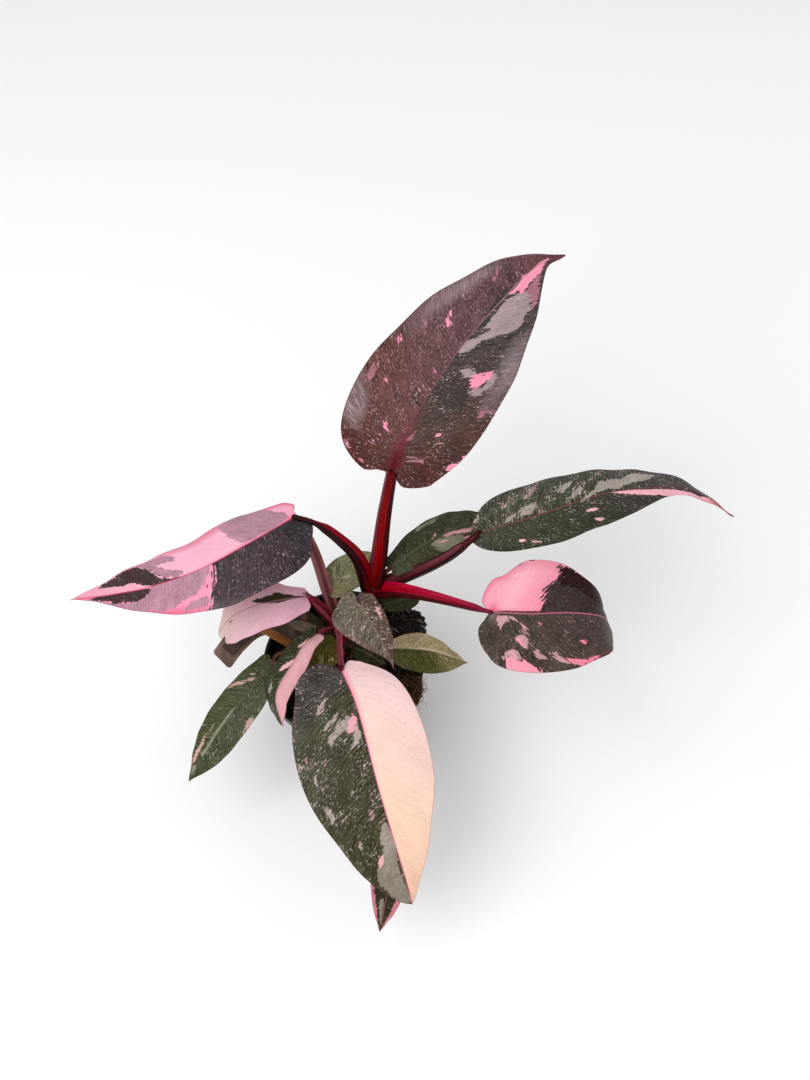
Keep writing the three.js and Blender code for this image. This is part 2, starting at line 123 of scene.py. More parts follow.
def carried_sides(course, roll):
    """Each station's sideways direction, carried along without twist and then rolled."""
    side = np.cross(course.ahead[0], UP)
    sides = []
    for share, ahead in zip(np.linspace(0, 1, len(course.ahead)), course.ahead):
        side = unit(side - ahead * (side @ ahead))
        turn = -math.radians(roll[0] + (roll[1] - roll[0]) * share)
        sides.append(side * math.cos(turn) + np.cross(ahead, side) * math.sin(turn))
    return np.array(sides)


# ---------------------------------------------------------------- meshes


def added(name, adder, **shape):
    """A new mesh object of one of the primitive shapes."""
    bpy.ops.object.select_all(action="DESELECT")
    adder(**shape)
    piece = bpy.context.object
    piece.name = piece.data.name = name
    return piece


def modified(piece, name, kind, **settings):
    """Adds a modifier with its settings to the active piece, and applies it."""
    modifier = piece.modifiers.new(name, kind)
    for setting, value in settings.items():
        setattr(modifier, setting, value)
    bpy.ops.object.modifier_apply(modifier=modifier.name)


def sheet(name, columns, rows):
    """A flat grid and the column and row of each of its points."""
    adder = bpy.ops.mesh.primitive_grid_add
    piece = added(name, adder, x_subdivisions=columns, y_subdivisions=rows, size=1)
    flat = points_of(piece)
    column = np.rint((flat[:, 0] + 0.5) * columns).astype(int)
    row = np.rint((flat[:, 1] + 0.5) * rows).astype(int)
    return piece, column, row


def points_of(piece):
    """The piece's points as an array, in metres."""
    flat = np.empty(len(piece.data.vertices) * 3)
    piece.data.vertices.foreach_get("co", flat)
    return flat.reshape(-1, 3)


def place_points(piece, points):
    """Puts the piece's points at some places, in metres."""
    piece.data.vertices.foreach_set("co", np.asarray(points, float).ravel())
    piece.data.update()


def note(piece, name, values, kind="FLOAT_VECTOR"):
    """Stores a vector or a colour at each point, for the finishes to read."""
    field = {"FLOAT_VECTOR": "vector", "FLOAT_COLOR": "color"}[kind]
    layer = piece.data.attributes.new(name, kind, "POINT")
    layer.data.foreach_set(field, np.asarray(values, float).ravel())


def noting(piece, column, row):
    """A function that stores what arrays say at a sheet's rows and columns."""

    def store(name, *parts, kind="FLOAT_VECTOR"):
        values = np.stack(np.broadcast_arrays(*parts), -1)
        note(piece, name, values[row, column], kind)

    return store


def noted(piece, name):
    """The vectors stored at a piece's points under a name."""
    flat = np.empty(len(piece.data.vertices) * 3)
    piece.data.attributes[name].data.foreach_get("vector", flat)
    return flat.reshape(-1, 3)


def weld(piece, gap=0.02 * MM):
    """Merges the points that lie together, so that seams and ends close."""
    bpy.context.view_layer.objects.active = piece
    bpy.ops.object.mode_set(mode="EDIT")
    bpy.ops.mesh.select_all(action="SELECT")
    bpy.ops.mesh.remove_doubles(threshold=gap)
    bpy.ops.object.mode_set(mode="OBJECT")


def thicken(piece, wall):
    """Gives a sheet its thickness, downwards; the new points follow the old ones."""
    modified(piece, "wall", "SOLIDIFY", thickness=wall * MM, offset=-1)


def round_grid(rings, around):
    """The share of each ring of a tube, as a column, and the turn of each line, as a row."""
    share = np.linspace(0, 1, rings + 1)[:, None]
    return share, np.linspace(-math.pi, math.pi, around + 1)[None]


def tube(name, course, up, section):
    """A closed tube along a course; section holds its radius at each ring and turn."""
    places = course.places.copy()
    places[0], places[-1] = places[1], places[-2]
    side = np.cross(course.ahead, up)
    rings, around = section.shape[0] - 1, section.shape[1] - 1
    _, turn = round_grid(rings, around)
    section = section.copy()
    section[[0, -1]] = 0
    points = (
        places[:, None]
        + up[:, None] * (np.cos(turn) * section)[..., None]
        + side[:, None] * (np.sin(turn) * section)[..., None]
    )
    piece, column, row = sheet(name, around, rings)
    place_points(piece, points[row, column] * MM)
    return piece, column, row


def turned(name, profile, steps):
    """A solid of revolution: a disc extruded ring by ring along a profile, then filled."""
    (radius, height), *rest = profile
    piece = added(
        name, bpy.ops.mesh.primitive_circle_add,
        vertices=steps, radius=radius * MM, fill_type="NGON", location=(0, 0, height * MM),
    )
    bpy.ops.object.transform_apply(location=True)
    bpy.ops.object.mode_set(mode="EDIT")
    bpy.ops.mesh.select_all(action="SELECT")
    for next_radius, next_height in rest:
        bpy.ops.mesh.extrude_edges_move()
        grow = next_radius / radius
        bpy.ops.transform.resize(value=(grow, grow, 1), center_override=(0, 0, height * MM))
        bpy.ops.transform.translate(value=(0, 0, (next_height - height) * MM))
        radius, height = next_radius, next_height
    bpy.ops.mesh.edge_face_add()
    bpy.ops.mesh.select_all(action="SELECT")
    bpy.ops.mesh.normals_make_consistent(inside=False)
    bpy.ops.object.mode_set(mode="OBJECT")
    return piece


def scattered(name, shapes):
    """One mesh of many small shapes, each a list of points and a list of faces."""
    points, faces, count = [], [], 0
    for shape_points, shape_faces in shapes:
        points.append(shape_points)
        faces.extend([[corner + count for corner in face] for face in shape_faces])
        count += len(shape_points)
    mesh = bpy.data.meshes.new(name)
    mesh.from_pydata((np.concatenate(points) * MM).tolist(), [], faces)
    piece = bpy.data.objects.new(name, mesh)
    bpy.context.collection.objects.link(piece)
    return piece


def finish_piece(piece, material, slot, *nodes, crease=50):
    """Smooths, paints and hangs a finished piece on the body, in place of its nodes."""
    bpy.ops.object.select_all(action="DESELECT")
    piece.select_set(True)
    bpy.context.view_layer.objects.active = piece
    bpy.ops.object.transform_apply(location=True, rotation=True, scale=True)
    bpy.ops.object.shade_smooth_by_angle(angle=math.radians(crease))
    piece.data.materials.clear()
    piece.data.materials.append(material)
    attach(piece, BODY)
    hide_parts(*nodes)
    return piece


# ---------------------------------------------------------------- finishes

SRGB_TOE = 0.04


def linear(code):
    """A colour written as #rrggbb, as the linear numbers that shaders take."""
    parts = (int(code[i : i + 2], 16) / 255 for i in (1, 3, 5))
    return tuple(p / 12.92 if p < SRGB_TOE else ((p + 0.055) / 1.055) ** 2.4 for p in parts)


def opaque(code):
    """The same colour with its alpha."""
    return (*linear(code), 1.0)


class Wire:
    """A node's output that takes part in Python arithmetic by adding Math nodes."""

    def __init__(self, finish, socket):
        self.finish = finish
        self.socket = socket

    def math(self, operation, *values):
        return self.finish.node("ShaderNodeMath", dict(enumerate(values)), operation=operation)

    def __add__(self, other):
        return self.math("ADD", self, other)

    def __sub__(self, other):
        return self.math("SUBTRACT", self, other)

    def __rsub__(self, other):
        return self.math("SUBTRACT", other, self)

    def __mul__(self, other):
        return self.math("MULTIPLY", self, other)

    def __truediv__(self, other):
        return self.math("DIVIDE", self, other)

    def __abs__(self):
        return self.math("ABSOLUTE", self)

    __radd__ = __add__
    __rmul__ = __mul__

    def waves(self, pitch):
        """1 on every line a pitch apart, 0 half-way between."""
        return self.math("COSINE", self * (2 * math.pi / pitch)) * 0.5 + 0.5

    def step(self, low, high):
        """A soft step from 0 at low to 1 at high."""
        values = {"Value": self, "From Min": low, "From Max": high}
        return self.finish.node("ShaderNodeMapRange", values, interpolation_type="SMOOTHSTEP")


class Finish:
    """A procedural material while its nodes are laid out."""

    def __init__(self, name, **constants):
        self.material = bpy.data.materials.new(name)
        self.material.use_nodes = True
        self.tree = self.material.node_tree
        self.shader = self.tree.nodes["Principled BSDF"]
        for socket, value in constants.items():
            self.shader.inputs[socket.replace("_", " ")].default_value = value

    def connect(self, socket, value):
        """Links a wire to a socket, or sets the number, vector or colour on it."""
        if isinstance(value, Wire):
            self.tree.links.new(value.socket, socket)
        else:
            socket.default_value = value

    def node(self, kind, values, output=0, **settings):
        """Adds a node with its settings, then fills its sockets, and gives an output."""
        added = self.tree.nodes.new(kind)
        for name, setting in settings.items():
            setattr(added, name, setting)
        for name, value in values.items():
            self.connect(added.inputs[name], value)
        return Wire(self, added.outputs[output])

    def attribute(self, name, output="Vector"):
        return self.node("ShaderNodeAttribute", {}, output, attribute_name=name)

    def parts(self, vector):
        """A vector's three numbers."""
        split = self.node("ShaderNodeSeparateXYZ", {0: vector})
        return [Wire(self, socket) for socket in split.socket.node.outputs]

    def vector(self, x, y, z=0.0):
        return self.node("ShaderNodeCombineXYZ", {0: x, 1: y, 2: z})

    def place(self):
        """The point on the piece, in millimetres."""
        coordinates = self.node("ShaderNodeTexCoord", {}, "Object")
        values = {0: coordinates, "Scale": 1 / MM}
        return self.node("ShaderNodeVectorMath", values, operation="SCALE")

    def mottle(self, vector, size, detail=2.0, roughness=0.5):
        """Noise with features of a size in the vector's units, round 0."""
        values = {"Vector": vector, "Scale": 1 / size, "Detail": detail, "Roughness": roughness}
        return self.node("ShaderNodeTexNoise", values, "Fac") - 0.5

    def cells(self, vector, size):
        """Distance to the middle of the nearest cell of a size, in cells."""
        values = {"Vector": vector, "Scale": 1 / size}
        return self.node("ShaderNodeTexVoronoi", values, "Distance")

    def mix(self, share, first, second):
        """The first colour turning into the second as the share grows."""
        values = {0: share, 6: first, 7: second}
        return self.node("ShaderNodeMix", values, 2, data_type="RGBA")

    def brighten(self, colour, amount):
        """The colour times a number."""
        grey = self.node("ShaderNodeCombineColor", {0: amount, 1: amount, 2: amount})
        values = {0: 1.0, 6: colour, 7: grey}
        return self.node("ShaderNodeMix", values, 2, data_type="RGBA", blend_type="MULTIPLY")

    def paint(self, colour, roughness, relief=None, depth=0.2):
        """Connects the surface: colour, roughness, and a relief that is depth mm high."""
        self.connect(self.shader.inputs["Base Color"], colour)
        self.connect(self.shader.inputs["Roughness"], roughness)
        if relief is not None:
            values = {"Height": relief, "Distance": depth * MM}
            self.connect(self.shader.inputs["Normal"], self.node("ShaderNodeBump", values))
        return self.material


def lamina_finish(leaves):
    """Leaf skin: ground, mauve, dark, grey and pink areas with edges torn along the veins.

    Over them lie flecks, a painted sheen (pale grey, and the rib's colour on the pink), a glow
    round the foot of the midrib, veins and a margin.
    """
    skin = Finish("variegated lamina", Specular_IOR_Level=leaves.gloss)
    from_midrib, along, gap = skin.parts(skin.attribute("lie"))
    mauve, grey, dark = skin.parts(skin.attribute("tones"))
    pink, flecks, painted_sheen = skin.parts(skin.attribute("touch"))
    off_midrib = abs(from_midrib)
    to_margin = abs(gap)
    under = 1 - gap.step(-0.2, 0)

    def stretched(times, size, detail, roughness=0.5):
        """Noise drawn out along the lateral veins."""
        return skin.mottle(skin.vector(from_midrib / times, along), size, detail, roughness)

    torn = stretched(5.0, 1.2, 3.0, 0.62) + stretched(2.2, 4.0, 2.0) * 0.5
    torn = torn * off_midrib.step(0.3, 4) * leaves.tearing

    def tone(field):
        """1 inside an area's torn outline, 0 outside."""
        return (field + torn).step(-0.1, 0.1)

    clouds = stretched(1.6, 7.0, 3.0)
    comb = stretched(14.0, 0.75, 3.0, 0.7)
    fine = stretched(1.9, 0.9, 1.0)
    patchy = stretched(1.5, 9.0, 1.0)
    flecked = flecks.step(0, 0.4)
    grain = (clouds * 1.5 + comb * 1.8 + fine * 1.8) * (flecked * 0.85 + 0.15)
    pale_grey = skin.attribute("grey", "Color")
    ground = skin.brighten(skin.attribute("ground", "Color"), grain + 1.0)
    pale = skin.mix(clouds * 1.8 + 0.2, pale_grey, skin.attribute("pink", "Color"))
    # Painted sheen: pale grey laid where the gloss would shine, streaked along the comb; the veil
    # also spreads a faint pale streak over the flecks.
    painted_sheen_share = painted_sheen.math("MAXIMUM", painted_sheen, 0)
    sheen_and_fleck_veil = comb.step(-0.1, 0.15) * (painted_sheen_share * 0.45 + flecks * 0.1) + painted_sheen_share * 0.35
    colour = skin.mix(sheen_and_fleck_veil, ground, pale_grey)

    def patched(colour, name, field):
        """The colour with an area of a tone laid over it."""
        layer = skin.brighten(skin.attribute(name, "Color"), grain * 0.5 + 1.0)
        return skin.mix(tone(field), colour, layer)

    colour = patched(patched(colour, "mauve", mauve), "dark", dark)

    density = (patchy * 0.3 + 0.035) * flecks
    dots = (fine + density).step(0.17, 0.23) * flecked
    colour = skin.mix(dots * 0.6, colour, skin.brighten(pale_grey, 1.15))
    dashes = (stretched(3.6, 0.9, 2.0) + density).step(0.215, 0.235)
    splashes = (stretched(4.0, 2.0, 2.0) + density).step(0.285, 0.3)
    streaks = dashes.math("MAXIMUM", dashes, splashes) * flecked
    colour = skin.mix(streaks * 0.9, colour, skin.brighten(pale, 1.3))

    colour = patched(colour, "grey", grey)
    rib_colour = skin.attribute("rib", "Color")
    blush = skin.brighten(skin.attribute("pink", "Color"), grain * 0.13 + 1.0)
    # On the pink the painted sheen takes the rib's colour.
    blush = skin.mix(painted_sheen_share * 0.65, blush, rib_colour)
    is_pink = tone(pink)
    colour = skin.mix(is_pink, colour, blush)

    ribs = (along + clouds * 3).waves(leaves.vein_pitch)
    lateral = ribs.step(0.95, 1.0) * to_margin.step(0.5, 6) * off_midrib.step(0.5, 3)
    colour = skin.brighten(colour, 1 - lateral * 0.06)
    flush = (1 - off_midrib.step(0.3, 3.5)) * (1 - along.step(10, 90)) * is_pink * 0.6
    glow = (0 - painted_sheen).step(0, 1) * (1 - off_midrib.step(0.5, 7)) * (1 - along.step(8, 75))
    glow = glow * (comb * 2 + 0.85)
    colour = skin.mix(flush.math("MAXIMUM", flush, glow), colour, rib_colour)
    main_rib = 1 - off_midrib.step(0.2, 0.6)
    colour = skin.mix(main_rib * 0.65, colour, rib_colour)
    rim = 1 - to_margin.step(0.1, 0.5)
    colour = skin.mix(rim * 0.5, colour, leaves.rim)

    back = skin.mix(is_pink * 0.75, leaves.back, leaves.pink_back)
    colour = skin.mix(under * 0.8, colour, back)

    relief = stretched(2.5, 0.7, 2.0) * 0.25
    relief = relief - ribs.step(0.8, 1.0) * 0.15 * off_midrib.step(0.5, 4)
    roughness = clouds * 0.2 + comb * 0.1 + leaves.roughness
    return skin.paint(colour, roughness, relief, leaves.vein_depth)


def petiole_finish():
    """Petiole skin: painted lit and shaded colours, the sheath's wings and channel, ribs."""
    skin = Finish("petiole", Specular_IOR_Level=0.1)
    around, along, upper = skin.parts(skin.attribute("lie"))
    wing, channel, _ = skin.parts(skin.attribute("sheath"))
    streaks = skin.mottle(skin.vector(around, along / 16), 0.9, 3.0, 0.6)
    # Painted light and shade: the side facing up takes the lit upper colour, the rest the lower
    # one.
    lit = (upper + streaks * 1.2).step(-0.1, 0.75)
    colour = skin.mix(lit, skin.attribute("lower", "Color"), skin.attribute("upper", "Color"))
    # A channel colour that copies the lower one is painted shade in the groove.
    hollow = (channel + streaks * 0.6).step(0.25, 0.6)
    colour = skin.mix(hollow, colour, skin.attribute("channel", "Color"))
    # Lighter wing colours paint the lit side or its highlights on some leaves.
    edge = (wing + streaks * 0.5).step(0.35, 0.8)
    colour = skin.mix(edge, colour, skin.attribute("wing", "Color"))
    colour = skin.brighten(colour, streaks * 1.6 + 0.78)
    ribs = around.waves(0.9) * 0.35 + streaks
    return skin.paint(colour, streaks * 0.25 + 0.3, ribs, 0.16)


# ---------------------------------------------------------------- the leaves


Stops = str | float | tuple  # one value, or (share, value) or (share, left, right) stops


class Half(NamedTuple):
    """Half a blade: its width in mm, its outline, and its bend in degrees.

    The lobe reaches back, and the belly stands, at a part of the midrib; slim above 1 draws
    the ends thinner. The half is folded up at the midrib and curls on towards its margin.
    """

    width: float
    lobe: float
    belly: float
    slim: float
    fold: float
    curl: float


class Mark(NamedTuple):
    """A rounded patch of a tone: its middle and half size.

    Reach runs from -1 at the left margin to 1 at the right, share from 0 at the notch to 1 at
    the tip. A higher square gives it squarer corners.
    """

    tone: str
    reach: float
    share: float
    half_reach: float
    half_share: float
    square: float = 2.6


class Patch(NamedTuple):
    """A patch of a tone with its own outline.

    Corners are hundredths of the reach and thousandths of the share. A patch that cuts takes
    its place out of the pink, and runs on that many mm beneath it.
    """

    tone: str
    corners: tuple
    cuts: float = 0.0


class Look(NamedTuple):
    """A leaf's colours and how flecked it is; each may run through stops along the blade."""

    ground: Stops
    pink: Stops
    grey: Stops
    rib: Stops
    flecks: Stops
    mauve: Stops = "#8a7a74"
    dark: Stops = "#20221a"


class Bend(NamedTuple):
    """A local shape of one half: extra curl in degrees, or a nip of part of the width."""

    side: int
    share: float
    spread: float
    curl: float
    nip: float = 0.0


class Leaf(NamedTuple):
    """A leaf: its petiole's route and radii, its midrib, its two halves and its looks.

    Routes are points in mm, and radii are those at the foot and at the top. The sheath ends at
    a share of the petiole, whose four colours follow. They paint light and shade: the upper
    colour is the lit top, the lower one the shade beneath, and left and right stops give a lit
    and a shaded side. The roll is in degrees, from the blade's notch to its tip.
    """

    name: str
    petiole: tuple
    radii: tuple
    midrib: tuple
    left: Half
    right: Half
    look: Look
    sheath: float = 0.4
    # Painted light: upper is the lit colour and lower the shade; by default the wings take the lit
    # colour and the channel the shaded one.
    upper: Stops = ((0, "#6a3a34"), (1, "#6a4a3a"))
    lower: Stops = ((0, "#3a1a18"), (1, "#3a2a20"))
    wing: Stops = "#6a3a34"
    channel: Stops = "#3a1a18"
    roll: tuple = (0, 0)
    marks: tuple = ()
    patches: tuple = ()
    bends: tuple = ()


# Half a blade's outline, from the notch to the tip: parts of the midrib and of the width.
HALF_OUTLINE = (
    (0, 0), (-0.04, 0.13), (-0.1, 0.36), (-0.07, 0.64), (0.05, 0.89), (0.23, 1),
    (0.44, 0.94), (0.63, 0.73), (0.79, 0.43), (0.915, 0.15), (1, 0),
)
OUTLINE_LOBE = 0.1
OUTLINE_BELLY = 0.23

# How the lateral veins leave the midrib: closer at the notch, swept towards the tip.
VEIN_CROWDING = 0.32
VEIN_SWEEP = 0.85
VEIN_BLEND = 0.06
VEIN_BEND = 1.3

STATIONS = 60  # steps along a midrib that its blade hangs from
COLUMN_CROWDING = 1.25  # above 1, columns stand closer near the midrib
LEAST_ROWS = 44
LEAST_COLUMNS = 12

# Tone fields, mm: outside every area, and the least depth inside a mark or patch.
OUTSIDE = 40.0
LEAST_MARK = 1.2
MARK_STRETCH = 1.15
CORNER_UNITS = (100, 1000)
CUT_TONES = ("mauve", "grey", "dark")
TONES = (*CUT_TONES, "pink", "painted_sheen", "glow")
# Depths, mm, over which a painted sheen mark and a glow mark fade in.
PAINTED_SHEEN_DEPTH = 6
GLOW_DEPTH = 4

# Pale light that the skin's gloss adds, the least part of a colour that stays, and the light's
# own strength.
SHEEN = 0.004
LEAST_SHARE = 0.4
EXPOSURE = 0.86

# Relief of a blade: waves per half width, lengths in mm, the wall's part left at the margin,
# and the keel's depth in petiole radii.
RUFFLE_WAVES = 5.5
RUFFLE_WIDTH = 30
QUILT_FADE = 6
MIDRIB_DIP = 0.45
MIDRIB_DIP_WIDTH = 0.9
MARGIN_WALL = 0.45
MARGIN_WIDTH = 5
KEEL_DEPTH = 1.3

# A petiole's end: its depth below the blade at the joint and at the end, in radii, and the
# part of its thickness that it loses.
JOINT_DROP = 1.1
END_DROP = 0.9
END_TAPER = 0.6

# A petiole's section: how its sheath closes, in shares; where its wings stand and how wide
# they and the channel are, in radians; what stays of the channel above the sheath.
SHEATH_FADE = (0.08, 0.01)
NECK_SWELL = 0.1
WING_DROP = 0.45
WING_TURN, WING_SPREAD = 0.95, 0.34
CHANNEL_SPREAD = 0.55
CHANNEL_REST = 0.2

PINK_LEAVES = ("pink_left_leaf", "pale_left_leaf")

TOP_LEAF = Leaf(
    "top_leaf", petiole=((17, 25, 122), (21, 34, 139), (24, 47, 160), (28, 58, 184)),
    radii=(4.6, 2.5), sheath=0.94, upper=((0, "#8a0018", "#6a0010"), (1, "#6a1028", "#4a060c")),
    lower=((0, "#3c0206"), (1, "#340004")),
    # The left wing's pinkish grey is painted glint along that edge.
    wing=((0, "#7a2a34", "#3a0208"), (1, "#8a5a60", "#4a0a14")),
    channel=((0, "#b00016"), (0.8, "#8a0010"), (1, "#7a1030")),
    midrib=(
        (28, 59, 185), (36, 76, 196), (49, 96, 206), (66, 119, 215), (84, 139, 222),
        (103, 160, 225), (119, 170, 222),
    ),
    roll=(0, 4), left=Half(39, 0.02, 0.23, 0.9, 6, -20), right=Half(36, 0.03, 0.27, 1.3, 8, -16),
    look=Look(
        ground=(
            (0, "#4a1418", "#40150d"), (0.2, "#4a1814", "#44180f"), (0.35, "#4e241a", "#461c12"),
            (0.45, "#562f26", "#4a2a22"), (0.55, "#643f3c", "#48352f"),
            (0.65, "#664648", "#443c3a"), (0.8, "#62464a", "#443d3d"), (1, "#6a3c3c", "#553033"),
        ),
        pink=((0, "#f58fae"), (1, "#fa9fb9")), grey="#a79295",
        rib=(
            (0, "#5c0416"), (0.4, "#5e0a20"), (0.55, "#7c3446"), (0.65, "#8a5a66"),
            (0.8, "#a8808c"), (1, "#a03050"),
        ),
        flecks=((0, 1.1), (0.5, 0.9), (0.8, 0.7)), mauve="#a8707c", dark="#433b39",
    ),
    # The first three marks paint the gloss's sheen.
    marks=(
        Mark("painted_sheen", -0.85, 0.465, 0.26, 0.06), Mark("painted_sheen", -0.85, 0.72, 0.2, 0.12),
        Mark("painted_sheen", 0.9, 0.62, 0.2, 0.1), Mark("glow", 0, 0.25, 0.3, 0.4, 3),
        Mark("mauve", -0.92, 0.35, 0.06, 0.02), Mark("mauve", -0.8, 0.26, 0.06, 0.02),
        Mark("mauve", -0.85, 0.53, 0.06, 0.015), Mark("mauve", 0.25, 0.405, 0.1, 0.008),
    ),
    patches=(
        Patch("grey", ((1, 680), (1, 700), (11, 708), (29, 718), (13, 728), (11, 748), (11, 772),
            (13, 792), (29, 800), (56, 800), (77, 775), (85, 753), (77, 748), (79, 723), (73, 710),
            (60, 705), (41, 703), (25, 698), (18, 685), (8, 675))),
        Patch("pink", ((0, 800), (7, 815), (4, 835), (-8, 848), (6, 865), (-15, 902), (-46, 935),
            (17, 915), (63, 878), (77, 850), (58, 840), (47, 818), (49, 797), (26, 805))),
        Patch("mauve", ((53, 812), (64, 833), (74, 848), (92, 807), (94, 765), (86, 748), (71, 780),
            (51, 792))),
        Patch("grey", ((21, 645), (33, 647), (45, 635), (50, 623), (39, 625), (31, 630))),
        Patch("pink", ((38, 628), (50, 628), (58, 630), (67, 628), (70, 615), (64, 610), (64, 603),
            (57, 600), (47, 608), (46, 615))),
        Patch("grey", ((67, 628), (74, 620), (77, 608), (76, 593), (71, 588), (65, 585), (61, 583),
            (54, 588), (50, 600), (65, 600), (65, 610))),
        Patch("mauve", ((76, 545), (82, 547), (88, 542), (86, 535), (85, 527), (80, 535))),
        Patch("pink", ((92, 372), (91, 390), (98, 413), (100, 440), (100, 417), (100, 385),
            (98, 365))),
        Patch("pink", ((-42, 677), (-50, 685), (-57, 690), (-50, 695), (-36, 688))),
        Patch("pink", ((-70, 645), (-73, 650), (-65, 650))),
        Patch("pink", ((-88, 588), (-88, 595), (-80, 598), (-79, 593))),
        Patch("pink", ((-65, 547), (-60, 552), (-53, 555), (-57, 550))),
        Patch("pink", ((-15, 635), (-14, 642), (-8, 635), (-7, 630))),
        Patch("pink", ((-33, 505), (-28, 515), (-21, 512), (-17, 510), (-22, 500))),
        Patch("pink", ((-34, 465), (-29, 473), (-27, 463))),
        Patch("mauve", ((2, 517), (4, 530), (9, 535), (11, 520), (6, 517))),
        Patch("pink", ((33, 520), (45, 520), (43, 510))),
        Patch("mauve", ((9, 343), (29, 398), (45, 400), (47, 383), (33, 375))),
        Patch("mauve", ((-58, 787), (-63, 795), (-74, 805), (-56, 797), (-50, 787))),
        Patch("dark", ((-2, 610), (7, 630), (21, 633), (46, 605), (54, 585), (51, 565), (31, 573),
            (10, 595))),
        Patch("dark", ((-1, 755), (-11, 768), (-11, 787), (-17, 805), (-3, 810), (0, 782),
            (7, 753))),
    ),
    bends=(
        Bend(-1, 0.2, 0.16, -34), Bend(1, 0.16, 0.12, -16), Bend(-1, 0.68, 0.14, 0, 0.07),
        Bend(1, 0.5, 0.12, 0, 0.03), Bend(1, 0.93, 0.04, 0, 0.4), Bend(-1, 0.95, 0.04, 0, 0.3),
    ),
)

UPPER_RIGHT_LEAF = Leaf(
    "upper_right_leaf", petiole=((18, 26, 121), (40, 28, 134), (58, 32, 145), (72, 40, 153)),
    radii=(3.9, 1.9), sheath=0.78,
    upper=((0, "#5a1420"), (0.75, "#5a1a24"), (0.85, "#4a0e18"), (1, "#4a1a20")),
    lower=((0, "#2a0408"), (1, "#34080e")), wing=((0, "#3a0a12", "#24040a"), (1, "#3a0a12")),
    channel=((0, "#6a2a34"), (1, "#7a3a40")),
    midrib=(
        (73, 41, 154), (92, 44, 160), (111, 48, 165), (136, 57, 166), (161, 64, 161),
        (188, 71, 150), (215, 63, 134),
    ),
    left=Half(28, 0.01, 0.19, 1.3, -14, -16), right=Half(17, 0.02, 0.25, 1.4, -14, -30),
    look=Look(
        ground=(
            (0, "#3d4030", "#34352a"), (0.5, "#3c4130", "#363a2a"), (0.8, "#3a3634", "#363030"),
            (1, "#4a3030"),
        ),
        pink=(
            (0, "#f3bcc4", "#fbc9cf"), (0.86, "#f3bcc4", "#f7b4c0"), (0.92, "#c4606c"),
            (1, "#a8424e"),
        ),
        grey="#a99f97", rib="#8a4a50", flecks=((0, 2, 0.7), (0.5, 2, 0.7), (0.7, 1.2, 0.9)),
        mauve="#a08088",
    ),
    marks=(Mark("pink", 0.3, 1, 1.2, 0.12, 4),),
    patches=(
        Patch("grey", ((0, 620), (-9, 630), (-20, 638), (-38, 650), (-49, 660), (-49, 688),
            (-70, 703), (-77, 720), (-77, 748), (-71, 760), (-46, 745), (-31, 715), (-21, 693),
            (-7, 677), (-12, 665), (-8, 645), (5, 620), (7, 608))),
        Patch("pink", ((0, 665), (2, 700), (10, 730), (21, 752), (38, 770), (50, 800), (56, 845),
            (-49, 888), (110, 900), (110, 735), (92, 722), (61, 712), (36, 697), (20, 685))),
        Patch("pink", ((32, 605), (33, 613), (45, 615), (46, 605), (39, 600))),
        Patch("pink", ((67, 588), (77, 598), (80, 590), (73, 585))),
        Patch("pink", ((56, 455), (54, 470), (65, 463), (71, 453), (61, 450))),
        Patch("pink", ((68, 475), (77, 482), (82, 480), (76, 470))),
        Patch("mauve", ((-60, 510), (-77, 520), (-95, 535), (-79, 537), (-63, 530), (-50, 520))),
        Patch("grey", ((-3, 460), (-15, 487), (-22, 510), (-7, 503))),
        Patch("grey", ((-22, 512), (-34, 522), (-34, 542), (-22, 550), (-7, 537), (-9, 517))),
        Patch("grey", ((-49, 580), (-64, 588), (-77, 608), (-56, 603), (-38, 588))),
        Patch("grey", ((-19, 600), (-37, 613), (-60, 634), (-22, 620), (-9, 605))),
        Patch("pink", ((-6, 517), (-22, 527), (-7, 525))),
        Patch("grey", ((-92, 508), (-98, 530), (-88, 512))),
        Patch("pink", ((-54, 615), (-60, 625), (-53, 620))),
    ),
    bends=(
        Bend(1, 0.74, 0.05, 0, 0.4), Bend(1, 0.68, 0.04, 0, 0.2), Bend(-1, 0.61, 0.06, 0, 0.08),
        Bend(-1, 0.76, 0.05, 0, -0.1),
    ),
)

